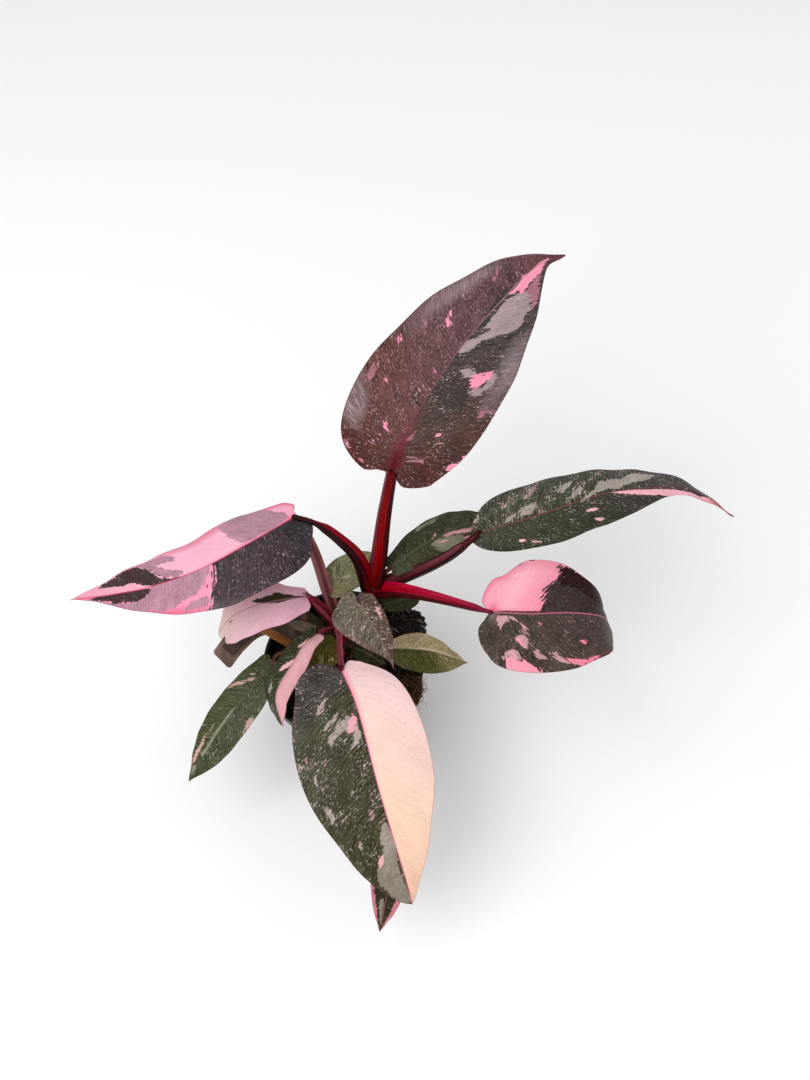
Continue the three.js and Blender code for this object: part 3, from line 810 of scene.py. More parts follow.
ROUND_RIGHT_LEAF = Leaf(
    "round_right_leaf", petiole=((18, 24, 120), (32, 18, 132), (50, 9, 142), (77, -3, 150)),
    radii=(4.3, 1.1), sheath=0.84,
    upper=(
        (0, "#cc0034", "#b00028"), (0.7, "#b01048", "#900434"), (0.9, "#7a2440"), (1, "#5a1a30"),
    ),
    lower=((0, "#2c0206"), (1, "#3a0a12")),
    wing=((0, "#c4103a", "#4a0410"), (1, "#b02040", "#5a0a1c")),
    channel=((0, "#c8001c"), (0.5, "#b40434"), (1, "#8a0430")),
    midrib=(
        (78, -3, 150), (97, -5, 152), (118, -3, 149), (133, -1, 142), (141, 3, 128), (140, 6, 113),
    ),
    left=Half(30.5, 0.05, 0.26, 1.5, 6, -12), right=Half(32, 0.06, 0.22, 1.1, 2, -8),
    look=Look(
        ground=((0, "#443634", "#463d37"), (0.6, "#403434", "#4a403a"), (1, "#2a1416", "#3a2426")),
        pink=(
            (0, "#f98ea6", "#fbb0be"), (0.3, "#fba9bb", "#fba8ba"), (0.5, "#fcb6c5", "#fb9fb2"),
            (0.64, "#fa94ac", "#f98ba2"), (1, "#f78ba2", "#f9708e"),
        ),
        grey="#8c7a78", rib=((0, "#f0567c"), (0.7, "#d77a8c")),
        flecks=((0, 0.8), (0.6, 0.25, 0.8), (0.8, 0.2, 0.8)), mauve="#cf9fa5", dark="#2a0408",
    ),
    # The second and third marks paint the gloss's sheen.
    marks=(
        Mark("pink", -0.02, 0.9, 0.1, 0.05), Mark("painted_sheen", -1.05, 0.35, 0.3, 0.34),
        Mark("painted_sheen", 0, 0.1, 0.5, 0.3),
    ),
    patches=(
        Patch("pink", ((0, 0), (-4, 635), (-13, 638), (-22, 628), (-33, 625), (-42, 610),
            (-58, 618), (-71, 620), (-86, 605), (-91, 598), (-105, 600), (-105, 0))),
        Patch("pink", ((-105, 580), (-98, 598), (-98, 623), (-98, 647), (-105, 660))),
        Patch("dark", ((-58, 638), (-63, 657), (-63, 688), (-57, 720), (-47, 755), (-60, 785),
            (-110, 840), (-110, 590), (-97, 605), (-89, 603), (-86, 605), (-71, 620))),
        Patch("mauve", ((7, 360), (7, 425), (4, 522), (12, 522), (19, 460), (34, 420), (27, 385),
            (17, 338))),
        Patch("mauve", ((4, 537), (6, 565), (12, 568), (11, 550))),
        Patch("mauve", ((15, 580), (23, 580), (32, 575), (41, 570), (49, 547), (57, 530), (53, 522),
            (38, 517), (34, 540), (33, 557), (23, 568))),
        Patch("pink", ((37, 525), (39, 542), (46, 537), (53, 530), (49, 520), (45, 515))),
        Patch("pink", ((7, 628), (11, 630), (17, 628), (23, 618), (18, 618))),
        Patch("mauve", ((67, 450), (64, 475), (61, 500), (71, 497), (74, 503), (82, 480), (79, 470),
            (74, 463), (80, 445), (86, 435), (82, 417), (79, 432))),
        Patch("pink", ((82, 445), (76, 465), (82, 480), (74, 505), (83, 505), (91, 512), (98, 522),
            (105, 530), (105, 440), (89, 450))),
        Patch("mauve", ((58, 557), (65, 555), (71, 555), (76, 557), (85, 545), (79, 540), (71, 535),
            (67, 537))),
        Patch("mauve", ((65, 588), (70, 593), (79, 593), (86, 600), (94, 603), (89, 580), (83, 573),
            (76, 573), (73, 583))),
        Patch("pink", ((80, 600), (86, 623), (94, 652), (94, 690), (100, 730), (100, 630),
            (95, 608), (89, 595))),
        Patch("pink", ((58, 677), (58, 688), (63, 688), (68, 675), (63, 672))),
        Patch("mauve", ((28, 715), (38, 718), (49, 718), (42, 713))),
    ),
    bends=(
        Bend(-1, 0.38, 0.035, 0, 0.09), Bend(-1, 0.12, 0.06, 0, 0.1), Bend(-1, 0.79, 0.02, 0, 0.25),
        Bend(1, 0.84, 0.025, 0, 0.2),
    ),
)

PINK_LEFT_LEAF = Leaf(
    "pink_left_leaf",
    petiole=((15, 25, 121), (10, 28, 149), (1, 31, 164), (-10, 36, 171), (-21, 40, 171)),
    radii=(4.4, 1.4), sheath=0.74,
    upper=(
        (0, "#5a0410"), (0.4, "#34020a", "#8a0418"), (0.7, "#2c020a", "#8a0418"),
        (0.85, "#2c040c", "#4c0a18"), (1, "#3c0a18"),
    ),
    lower=((0, "#200206"), (1, "#240206")),
    wing=((0, "#7a0414", "#a00020"), (0.3, "#3a0208", "#a00420"), (1, "#2a0208", "#8a0c28")),
    channel=((0, "#7a0410", "#b00018"), (0.3, "#30020a", "#a00420"), (1, "#24020a", "#7a0c24")),
    midrib=(
        (-22, 41, 170), (-44, 27, 168), (-70, 17, 158), (-99, 14, 144), (-120, 15, 134),
        (-146, 19, 120),
    ),
    roll=(-12, -4), left=Half(26, 0.04, 0.14, 1.3, -19, -4),
    right=Half(30, 0.02, 0.28, 1.1, -13, -12),
    look=Look(
        # By the notch the ground's blue-grey is partly painted sheen on the near-black skin.
        ground=((0, "#36333a"), (0.4, "#353035"), (0.5, "#3e3233"), (1, "#40302e", "#4a3a3c")),
        pink=(
            (0, "#f58fb0", "#f48fae"), (0.4, "#f9a9c2", "#fbb8ce"), (0.7, "#f79ab6", "#fbb8ce"),
            (1, "#e07f96", "#e799ad"),
        ),
        grey="#8b7f88", rib="#d03a62", flecks=((0, 0.1), (0.4, 0.35), (0.5, 0.8), (0.65, 0.85)),
        mauve="#b68799", dark="#42302f",
    ),
    # The last two marks paint the gloss's sheen.
    marks=(
        Mark("pink", 0.6, 0.5, 0.6, 0.5, 12), Mark("pink", -0.5, 0.86, 0.62, 0.226, 9),
        Mark("painted_sheen", 1.05, 0.4, 0.3, 0.5), Mark("painted_sheen", -1.05, 0.75, 0.3, 0.2),
    ),
    patches=(
        Patch("mauve", ((91, 522), (100, 500), (100, 470), (100, 422), (97, 367), (58, 328),
            (15, 223), (7, 340), (0, 490), (4, 527), (2, 547), (6, 568), (21, 565), (57, 545)), 3),
        Patch("mauve", ((89, 758), (98, 703), (92, 662), (70, 655), (54, 667), (65, 682), (64, 703),
            (42, 700), (13, 682), (6, 682), (2, 703), (19, 720), (46, 720), (68, 723),
            (92, 733)), 3),
        Patch("mauve", ((0, 750), (0, 640), (-19, 643), (-32, 649), (-46, 655), (-58, 664),
            (-64, 680), (-85, 706), (-94, 720), (-92, 740), (-105, 760), (-105, 970), (-100, 938),
            (-68, 912), (-71, 865), (-79, 828), (-63, 800), (-53, 775), (-41, 765), (-28, 755)), 3),
        Patch("mauve", ((-85, 680), (-71, 667), (-65, 652), (-67, 638), (-76, 630), (-88, 630),
            (-90, 660), (-93, 677)), 3),
        Patch("dark", ((70, 858), (95, 843), (94, 797), (94, 763), (95, 738), (68, 723), (42, 723),
            (19, 725), (4, 715), (0, 685), (-1, 703), (-1, 725), (-2, 745), (15, 770), (34, 777),
            (32, 802), (51, 833)), 3),
        Patch("dark", ((-10, 750), (-28, 755), (-41, 765), (-53, 775), (-63, 800), (-79, 828),
            (-71, 865), (-53, 910), (-7, 875), (-4, 843), (2, 802), (-2, 775), (-5, 760)), 3),
    ),
    bends=(Bend(1, 0.62, 0.09, 0, 0.13), Bend(1, 0.05, 0.06, 0, -0.1)),
)

FRONT_LEAF = Leaf(
    "front_leaf", petiole=((5, 14, 94), (0, 8, 108), (0, -6, 118), (1, -18, 117)), radii=(3.4, 1.6),
    sheath=0.5, upper=((0, "#a84a54"), (1, "#c04464", "#5a2a30")),
    lower=((0, "#4a1a20"), (1, "#7a2040")), wing=((0, "#a83454"), (1, "#c04464", "#5a2430")),
    channel="#4a1024",
    midrib=(
        (1, -19, 115), (8, -35, 115), (13, -50, 112), (21, -78, 102), (31, -107, 84),
        (37, -123, 67), (38, -126, 52),
    ),
    roll=(4, 0), left=Half(30, 0.01, 0.29, 1.4, 8, -16), right=Half(38, 0.05, 0.3, 1.15, 4, -22),
    look=Look(
        ground=(
            (0, "#484341"), (0.4, "#464140"), (0.5, "#3d3f28"), (0.75, "#3c3c22"), (1, "#6a5a40"),
        ),
        pink=(
            (0, "#fed2da", "#f3b0bc"), (0.45, "#ffdcda", "#f3b0bc"), (0.7, "#ffd9c0", "#f3b0bc"),
            (1, "#f8c4a4"),
        ),
        grey=((0, "#b3a49d"), (0.7, "#b3a49d"), (0.8, "#948a7a")), rib="#f07f9c",
        flecks=((0, 0.8), (0.4, 1.1), (0.7, 1.2)), mauve="#b8929a",
    ),
    marks=(Mark("pink", -0.6, 0.5, 0.6, 0.56, 14),),
    patches=(
        Patch("grey", ((15, 723), (4, 723), (2, 738), (-1, 760), (5, 787), (11, 802), (12, 835),
            (4, 895), (-50, 955), (98, 880), (88, 830), (89, 805), (82, 787), (68, 772), (50, 760),
            (39, 760), (29, 750), (28, 735))),
        Patch("pink", ((47, 755), (39, 760), (43, 770), (58, 772), (57, 765))),
        Patch("grey", ((49, 537), (43, 532), (33, 530), (26, 530), (19, 532), (15, 532), (6, 540),
            (3, 552), (7, 565), (20, 560), (21, 547), (29, 545), (38, 545), (47, 545))),
        Patch("pink", ((10, 537), (7, 537), (3, 552), (7, 560), (17, 562), (21, 552), (17, 550))),
        Patch("grey", ((8, 565), (3, 570), (8, 580), (18, 583), (25, 585), (25, 580), (17, 575))),
        Patch("grey", ((49, 508), (41, 510), (32, 512), (23, 512), (29, 520), (41, 520),
            (47, 517))),
        Patch("grey", ((57, 455), (49, 440), (38, 427), (34, 440), (45, 455), (53, 468))),
        Patch("pink", ((83, 517), (82, 525), (85, 530), (86, 520))),
        Patch("pink", ((61, 552), (57, 555), (61, 560), (64, 552))),
        Patch("grey", ((80, 552), (77, 560), (80, 573), (83, 560), (83, 555))),
        Patch("grey", ((86, 600), (79, 613), (79, 625), (83, 638), (88, 628), (86, 613))),
        Patch("grey", ((41, 633), (33, 638), (36, 645), (42, 640), (45, 633))),
        Patch("mauve", ((27, 682), (18, 688), (22, 695), (32, 693), (32, 688))),
        Patch("mauve", ((10, 355), (7, 352), (9, 403), (13, 413))),
        Patch("grey", ((67, 695), (64, 708), (70, 720), (73, 708))),
        Patch("grey", ((71, 630), (67, 635), (74, 640))),
        Patch("grey", ((68, 645), (61, 647), (70, 652))),
    ),
    bends=(
        Bend(-1, 0.25, 0.08, 0, 0.15), Bend(-1, 0.58, 0.07, 0, -0.05), Bend(1, 0.35, 0.06, 0, 0.03),
        Bend(1, 0.66, 0.08, 0, 0.08), Bend(1, 0.85, 0.06, 0, -0.15),
    ),
)

CROWN_LEAF = Leaf(
    "crown_leaf", petiole=((17, 24, 122), (15, 13.5, 130), (12, 6, 141)), radii=(2, 1),
    upper=((0, "#8d0628"), (0.8, "#5a1c26"), (1, "#605a4e")),
    lower=((0, "#4a0a14"), (1, "#4a1a20")), wing="#8d0628", channel="#4a0a14",
    midrib=((10.5, 4.5, 151), (16, -6, 150), (24, -17, 140), (29, -24, 125)), roll=(6, 0),
    left=Half(11, 0.01, 0.12, 1.2, 10, -34), right=Half(18, 0.12, 0.15, 2, -2, -30),
    look=Look(
        ground=((0, "#5a463c", "#6c675a"), (0.6, "#54403a", "#625a4c"), (1, "#503c34", "#54453e")),
        pink="#d9a6a8", grey="#c8baaa", rib="#8a7668",
        flecks=((0, 0.9, 0.4), (0.4, 1.6, 0.7), (0.7, 1.6, 1.5)), mauve="#705a52",
    ),
    marks=(Mark("mauve", 0.95, 0.68, 0.12, 0.12),),
    patches=(
        Patch("pink", ((-68, 562), (-77, 570), (-76, 608), (-70, 647), (-58, 645), (-58, 615))),
        Patch("mauve", ((79, 620), (73, 657), (73, 695), (79, 738), (92, 795), (100, 775),
            (100, 728), (95, 693), (85, 652))),
    ),
    bends=(Bend(-1, 0.5, 0.16, 0, 0.2), Bend(1, 0.14, 0.08, 0, 0.1), Bend(1, 0.62, 0.09, 0, 0.13)),
)

LOW_RIGHT_LEAF = Leaf(
    "low_right_leaf", petiole=((2, 13, 86), (11, 5, 97), (19, 0, 102), (26, -1, 102)),
    radii=(1.8, 1.1), upper=((0, "#7e484b"), (1, "#8a5a50")),
    lower=((0, "#3a1a18"), (1, "#4a2a24")), wing="#7e484b",
    midrib=((27, -1, 102), (39, -2, 103), (54, -2, 98), (70, -3, 86)),
    left=Half(10.5, 0.02, 0.3, 1.6, 4, -10), right=Half(13, 0.02, 0.36, 1.1, -2, -22),
    look=Look(
        ground=(
            (0, "#a49770", "#46481f"), (0.6, "#b0a27c", "#4c4e24"), (0.72, "#b0a27c", "#7e7650"),
            (1, "#a8946c", "#8a7a58"),
        ),
        pink="#d9c0ac", grey="#b0a488", rib="#c4b49a", flecks=0.45,
    ),
    patches=(
        Patch("grey", ((-27, 525), (-46, 537), (-60, 560), (-74, 580), (-53, 565), (-39, 542),
            (-28, 535))),
        Patch("grey", ((-33, 615), (-37, 652), (-27, 652), (-26, 625))),
        Patch("pink", ((-2, 500), (-10, 600), (-13, 700), (-6, 820), (4, 800), (10, 720),
            (3, 660))),
        Patch("pink", ((20, 680), (32, 750), (42, 790), (36, 720))),
    ),
    bends=(Bend(-1, 0.7, 0.14, 0, 0.24), Bend(-1, 0.4, 0.12, 0, 0.1)),
)

BACK_RIGHT_LEAF = Leaf(
    "back_right_leaf", petiole=((14, 22, 114), (19, 28, 124), (26, 30, 134)), radii=(2, 1.2),
    upper=((0, "#5a1a26"), (1, "#7a4a44")), lower=((0, "#3a1010"), (1, "#3a201e")), wing="#5a1a26",
    channel="#3a1010", midrib=((27, 31, 135), (43, 42, 138), (64, 56, 135), (92, 72, 122)),
    left=Half(12.5, 0.02, 0.4, 1.6, 2, -18), right=Half(12, 0.01, 0.38, 1, 2, -14),
    look=Look(
        ground=((0, "#3c4030"), (0.5, "#3f412e", "#44442f"), (1, "#4a463a", "#4a4438")),
        pink="#e0a8ac", grey="#86846f", rib="#5c5e4a", flecks=0.45,
    ),
    patches=(
        Patch("grey", ((-100, 453), (-95, 468), (-89, 492), (-88, 510), (-92, 527), (-97, 550),
            (-80, 542), (-68, 537), (-71, 515), (-71, 492), (-67, 470))),
        Patch("grey", ((15, 520), (8, 547), (20, 573), (28, 598), (49, 618), (73, 598), (92, 557),
            (94, 532), (91, 512), (73, 503), (46, 503))),
        Patch("pink", ((10, 562), (5, 595), (12, 623), (23, 655), (34, 672), (50, 655), (47, 630),
            (26, 605), (21, 580))),
        Patch("pink", ((-4, 535), (-13, 542), (-22, 557), (-6, 555), (0, 537))),
        Patch("pink", ((21, 540), (29, 555), (43, 562), (51, 562), (42, 550), (32, 535))),
        Patch("pink", ((60, 588), (63, 610), (65, 638), (76, 623), (71, 600))),
    ),
)

BACK_LEAF = Leaf(
    "back_leaf", petiole=((0, 12, 86), (-5, 22, 99), (-8, 30, 109)), radii=(3, 1.3),
    upper=((0, "#a0102c"), (1, "#7a3a3a")), lower=((0, "#4a0a14"), (1, "#4a1a20")), wing="#a0102c",
    channel="#4a0a14", midrib=((-8, 31, 110), (2, 39, 113), (14, 48, 110), (25, 55, 100)),
    left=Half(11, 0.04, 0.3, 1, 6, -16), right=Half(11, 0.04, 0.3, 1, 4, -12),
    look=Look(
        ground=((0, "#98956c"), (1, "#8b8b66")), pink="#d9c8b4", grey="#b5b09a", rib="#8c8c6c",
        flecks=1.1,
    ),
    patches=(
        Patch("pink", ((-9, 480), (-43, 503), (-74, 492), (-56, 515), (-12, 512))),
        Patch("pink", ((1, 550), (10, 590), (28, 578), (13, 547))),
        Patch("grey", ((21, 495), (37, 525), (58, 520), (42, 503))),
    ),
)

PALE_LEFT_LEAF = Leaf(
    "pale_left_leaf", petiole=((0, 12, 88), (-5, 15, 100), (-11, 16, 115), (-17, 17, 127)),
    radii=(3.8, 2), sheath=0.8, upper=((0, "#a0102c"), (0.7, "#9a1834"), (1, "#8a3a4a")),
    lower=((0, "#4a0210"), (1, "#4a1a24")), wing=((0, "#a0102c"), (1, "#b0506a", "#8a1028")),
    channel=((0, "#7a0418"), (1, "#8a0c28")),
    midrib=((-18, 17, 128), (-30, 14, 130), (-47, 13, 124), (-60, 12, 112), (-68, 10, 98)),
    left=Half(16, 0.01, 0.55, 0.55, 0, -14), right=Half(14, 0.01, 0.42, 0.5, 4, -10),
    look=Look(
        ground=((0, "#e6a0ba"), (0.5, "#eebfcc"), (1, "#e8cdc2")),
        pink=((0, "#e6a0ba"), (0.5, "#eebfcc"), (1, "#e8cdc2")), grey="#7a7a55", rib="#b8808f",
        flecks=0, dark="#3b3a26",
    ),
    patches=(
        Patch("dark", ((22, 585), (10, 580), (4, 552), (-4, 503), (-7, 455), (-2, 393), (-3, 100),
            (11, 362), (26, 430), (36, 465), (26, 492), (20, 545))),
        Patch("grey", ((-12, 810), (-12, 752), (-21, 735), (-25, 770))),
    ),
    bends=(
        Bend(1, 0.12, 0.16, 0, 0.55), Bend(1, 0.33, 0.1, 0, 0.3), Bend(1, 0.2, 0.07, 0, 0.5),
        Bend(-1, 0.1, 0.14, 0, 0.5), Bend(-1, 0.31, 0.05, 0, -0.09), Bend(-1, 0.25, 0.03, 0, 0.2),
        Bend(1, 0.9, 0.1, 0, -0.25),
    ),
)

FOLDED_FRONT_LEAF = Leaf(
    "folded_front_leaf", petiole=((1, 13, 90), (-5, 10, 103), (-11, 4, 111)), radii=(2, 1.3),
    sheath=0.45, upper=((0, "#a0102c"), (1, "#8a4048")), lower=((0, "#4a0210"), (1, "#4a1a24")),
    wing="#a0102c", channel="#4a0210",
    midrib=(
        (-12, 3, 112), (-19, -5, 115), (-25, -15, 112), (-32, -23, 104), (-35, -29, 94),
        (-32, -38, 80),
    ),
    left=Half(8, 0.01, 0.44, 0.9, -18, -12), right=Half(10, 0.01, 0.5, 0.65, -8, -22),
    look=Look(
        ground=((0, "#30321a"), (0.6, "#31361c"), (1, "#303222")),
        pink=((0, "#f4bcc2"), (1, "#f2b4ba")), grey="#9a948a", rib="#c08a90", flecks=0.9,
    ),
    marks=(Mark("pink", -0.6, 0.5, 0.6, 0.6, 14),),
    patches=(
        Patch("pink", ((39, 542), (38, 512), (27, 495), (11, 482), (1, 480), (2, 505), (12, 525),
            (29, 535))),
        Patch("pink", ((22, 413), (10, 375), (9, 340), (0, 393), (7, 420))),
        Patch("grey", ((65, 645), (58, 605), (45, 593), (32, 638), (43, 680))),
    ),
)

LOWER_LEFT_LEAF = Leaf(
    "lower_left_leaf", petiole=((-1, 11, 77), (-12, 6, 87), (-25, 2, 91), (-36, 0, 90)),
    radii=(1.9, 1.2), midrib=((-39, -4, 89), (-51, -20, 86), (-67, -38, 75), (-86, -60, 52)),
    left=Half(13, 0.02, 0.42, 1, 6, -14), right=Half(12, 0.02, 0.38, 1, 4, -14),
    look=Look(
        ground=((0, "#4a4d38"), (0.6, "#474b33", "#474a2e"), (1, "#44462c")), pink="#c9a39c",
        grey="#8f8f7d", rib="#5f634c", flecks=0.9,
    ),
    marks=(Mark("grey", 0.4, 0.88, 0.3, 0.04),),
    patches=(
        Patch("pink", ((92, 480), (94, 460), (79, 448), (54, 440), (31, 430), (12, 425), (13, 438),
            (45, 453), (71, 463), (80, 480))),
        Patch("pink", ((58, 405), (42, 398), (25, 398), (28, 410), (47, 413))),
        Patch("grey", ((3, 537), (2, 568), (-3, 605), (0, 640), (-2, 685), (-3, 748), (8, 785),
            (29, 775), (15, 728), (14, 665), (10, 620), (9, 573))),
        Patch("pink", ((-73, 500), (-79, 482), (-100, 473), (-100, 495), (-100, 520), (-98, 535),
            (-95, 550), (-92, 530), (-80, 512))),
        Patch("pink", ((65, 728), (60, 693), (60, 667), (50, 693), (45, 735), (53, 790), (65, 828),
            (73, 860), (97, 850), (89, 802), (79, 760))),
        Patch("grey", ((42, 635), (39, 618), (36, 640), (37, 662))),
    ),
)

INNER_LEFT_LEAF = Leaf(
    "inner_left_leaf", petiole=((-1, 10, 77), (-1, 9, 85), (-2, 8, 89)), radii=(1.5, 1), sheath=0.3,
    midrib=((-3, 7, 89), (-12, 1, 93), (-21, -6, 92), (-30, -14, 87)),
    left=Half(12, 0.02, 0.38, 1, 6, -14), right=Half(11, 0.02, 0.38, 1, 6, -14),
    look=Look(
        ground=((0, "#746c26"), (1, "#5a5824")), pink="#d9b39c", grey="#a0a070", rib="#7a7a45",
        flecks=1,
    ),
    marks=(Mark("grey", -0.4, 0.6, 0.3, 0.015),),
    patches=(
        Patch("pink", ((-51, 535), (-54, 508), (-70, 460), (-73, 468), (-60, 512))),
    ),
)

INNER_RIGHT_LEAF = Leaf(
    "inner_right_leaf", petiole=((1, 11, 80), (3, 8, 86), (5, 6, 88)), radii=(1.4, 0.9), sheath=0.3,
    midrib=((6, 5, 88), (12, 2, 90), (18, -1, 88), (24, -3, 84)),
    left=Half(6.5, 0.01, 0.4, 1, 8, -14), right=Half(6.5, 0.01, 0.4, 1, 8, -14),
    look=Look(ground="#30321c", pink="#c99a94", grey="#7f8060", rib="#6a6a48", flecks=0.6),
)

HANGING_FRONT_LEAF = Leaf(
    "hanging_front_leaf", petiole=((-2, 9, 75), (4, -12, 90), (13, -48, 93), (22, -84, 80)),
    radii=(2.1, 1.3), sheath=0.3, upper=((0, "#6a3a34"), (1, "#6a3034")),
    midrib=((23, -85, 79), (25, -103, 72), (25, -120, 56), (21, -137, 34)),
    left=Half(10, 0, 0.38, 1, 8, -16), right=Half(9, 0, 0.38, 1, 8, -14),
    look=Look(
        ground=((0, "#2a2618"), (1, "#34301e")), pink="#d9848f", grey="#8a8470", rib="#8a5a58",
        flecks=0.6,
    ),
    marks=(
        Mark("pink", -0.9, 0.7, 0.22, 0.3), Mark("pink", 0.95, 0.75, 0.16, 0.2),
        Mark("grey", 0.3, 0.8, 0.2, 0.1),
    ),
)

TUCKED_RIGHT_LEAF = Leaf(
    "tucked_right_leaf", petiole=((6, 16, 96), (14, 22, 98), (21, 26, 98)), radii=(1.6, 1),
    sheath=0.3, midrib=((22, 27, 98), (30, 29, 99), (37, 32, 97), (44, 36, 92)),
    left=Half(7, 0.02, 0.4, 1, 4, -12), right=Half(7, 0.02, 0.4, 1, 4, -12),
    look=Look(ground="#3a3e26", pink="#c99a94", grey="#80836a", rib="#6a6a48", flecks=0.6),
)

SHADED_LEFT_LEAF = Leaf(
    "shaded_left_leaf", petiole=((-1, 10, 81), (-7, 14, 86), (-12, 17, 89)), radii=(1.7, 1.1),
    sheath=0.3, midrib=((-13, 17, 90), (-20, 18, 94), (-28, 22, 96), (-36, 30, 93)),
    left=Half(7, 0, 0.4, 1, 4, -22), right=Half(7, 0, 0.4, 1, 10, -22),
    # Its dull grey-pinks and browns are painted shade, the leaf lying beneath others.
    look=Look(
        ground=((0, "#4a3a34", "#3f3c28"), (1, "#4a3a34", "#3f3c28")), pink="#a8867c",
        grey="#8a7d70", rib="#7a5a50", flecks=0.8, mauve="#7d6660",
    ),
    marks=(Mark("grey", -0.5, 0.5, 0.5, 0.12), Mark("mauve", 0.5, 0.6, 0.4, 0.06)),
)

LOW_FRONT_LEAF = Leaf(
    "low_front_leaf", petiole=((0, 8, 77), (3, 3, 80), (8, -3, 80)), radii=(1.3, 0.9), sheath=0.3,
    midrib=((9, -4, 80), (16, -8, 82), (24, -11, 81), (32, -13, 78)),
    left=Half(6, 0, 0.4, 1, 6, -14), right=Half(6, 0, 0.4, 1, 6, -14),
    look=Look(ground="#2c2b0c", pink="#c99a94", grey="#70714f", rib="#5a5a30", flecks=0.5),
)

HIDDEN_LEFT_LEAF = Leaf(
    "hidden_left_leaf", petiole=((0, 13, 90), (-8, 28, 108), (-14, 42, 125), (-19, 51, 132)),
    radii=(3.2, 2.7), sheath=0.9, upper=((0, "#8e2c3c"), (0.5, "#c47c7e")),
    lower=((0, "#5a1a24"), (1, "#8a4c50")), wing=((0, "#8e2c3c"), (0.5, "#c47c7e")),
    channel=((0, "#5a1a24"), (0.5, "#9a585c")),
    midrib=((-20, 52, 132), (-34, 49, 134), (-51, 45, 126), (-68, 41, 112)),
    left=Half(14, 0.03, 0.36, 1, 6, -16), right=Half(14, 0.03, 0.36, 1, 6, -16),
    look=Look(
        ground=((0, "#3c3d2c"), (1, "#403c30")), pink="#e0a0ac", grey="#8f8a7d", rib="#8a5a58",
        flecks=0.8, mauve="#9a7a80",
    ),
    marks=(
        Mark("pink", 0.4, 0.6, 0.2, 0.03), Mark("grey", -0.5, 0.5, 0.3, 0.04),
        Mark("mauve", -0.3, 0.75, 0.25, 0.05),
    ),
)

LEAVES = (
    TOP_LEAF, UPPER_RIGHT_LEAF, ROUND_RIGHT_LEAF, PINK_LEFT_LEAF, FRONT_LEAF, CROWN_LEAF,
    LOW_RIGHT_LEAF, BACK_RIGHT_LEAF, BACK_LEAF, PALE_LEFT_LEAF, FOLDED_FRONT_LEAF, LOWER_LEFT_LEAF,
    INNER_LEFT_LEAF, INNER_RIGHT_LEAF, HANGING_FRONT_LEAF, TUCKED_RIGHT_LEAF, SHADED_LEFT_LEAF,
    LOW_FRONT_LEAF, HIDDEN_LEFT_LEAF,
)


def under_sheen(code):
    """A skin's own colour, less the pale light that its gloss adds."""
    return [max(part - SHEEN, part * LEAST_SHARE) * EXPOSURE for part in linear(code)]


def stops_of(colour):
    """One value, or (share, value) or (share, left, right) stops, as the last of these."""
    if not isinstance(colour, tuple):
        return ((0, colour, colour),)
    return tuple((stop[0], stop[1], stop[-1]) for stop in colour)


def by_share(stops, share, reach):
    """A number that runs through (share, left, right) stops, at some shares of each side."""
    marks, left, right = zip(*stops)
    return np.where(reach < 0, np.interp(share, marks, left), np.interp(share, marks, right))


def tinted(colour, share, reach):
    """A colour that may run through stops, at some shares of each side, as red, green, blue."""
    stops = [(at, under_sheen(left), under_sheen(right)) for at, left, right in stops_of(colour)]
    return [
        by_share([(at, left[part], right[part]) for at, left, right in stops], share, reach)
        for part in range(3)
    ]


def margin(half, share):
    """The margin at shares of the way round: parts of the midrib and of the width."""
    x, y = np.moveaxis(spline(HALF_OUTLINE, share, clamp=True), -1, 0)
    shoulder = np.sin(np.pi * np.minimum(1, 2 * share)) ** 2
    x = x + (OUTLINE_LOBE - half.lobe) * shoulder
    power = math.log(half.belly) / math.log(OUTLINE_BELLY)
    along = np.where(x < 0, x, np.abs(x) ** power)
    return along, np.maximum(0, y) ** half.slim


def vein_feet(leaf, share, length):
    """Where on the midrib each lateral vein starts, the same for both halves."""
    slender = 2 * length / (leaf.left.width + leaf.right.width)
    crowded = VEIN_CROWDING * share**2
    feet = []
    for half in (leaf.left, leaf.right):
        along, across = margin(half, share)
        swept = along - VEIN_SWEEP * across / slender
        blend = np.hypot(crowded - swept, VEIN_BLEND * np.sqrt(share))
        feet.append(np.minimum(1, (crowded + swept + blend) / 2))
    return (feet[0] + feet[1]) / 2


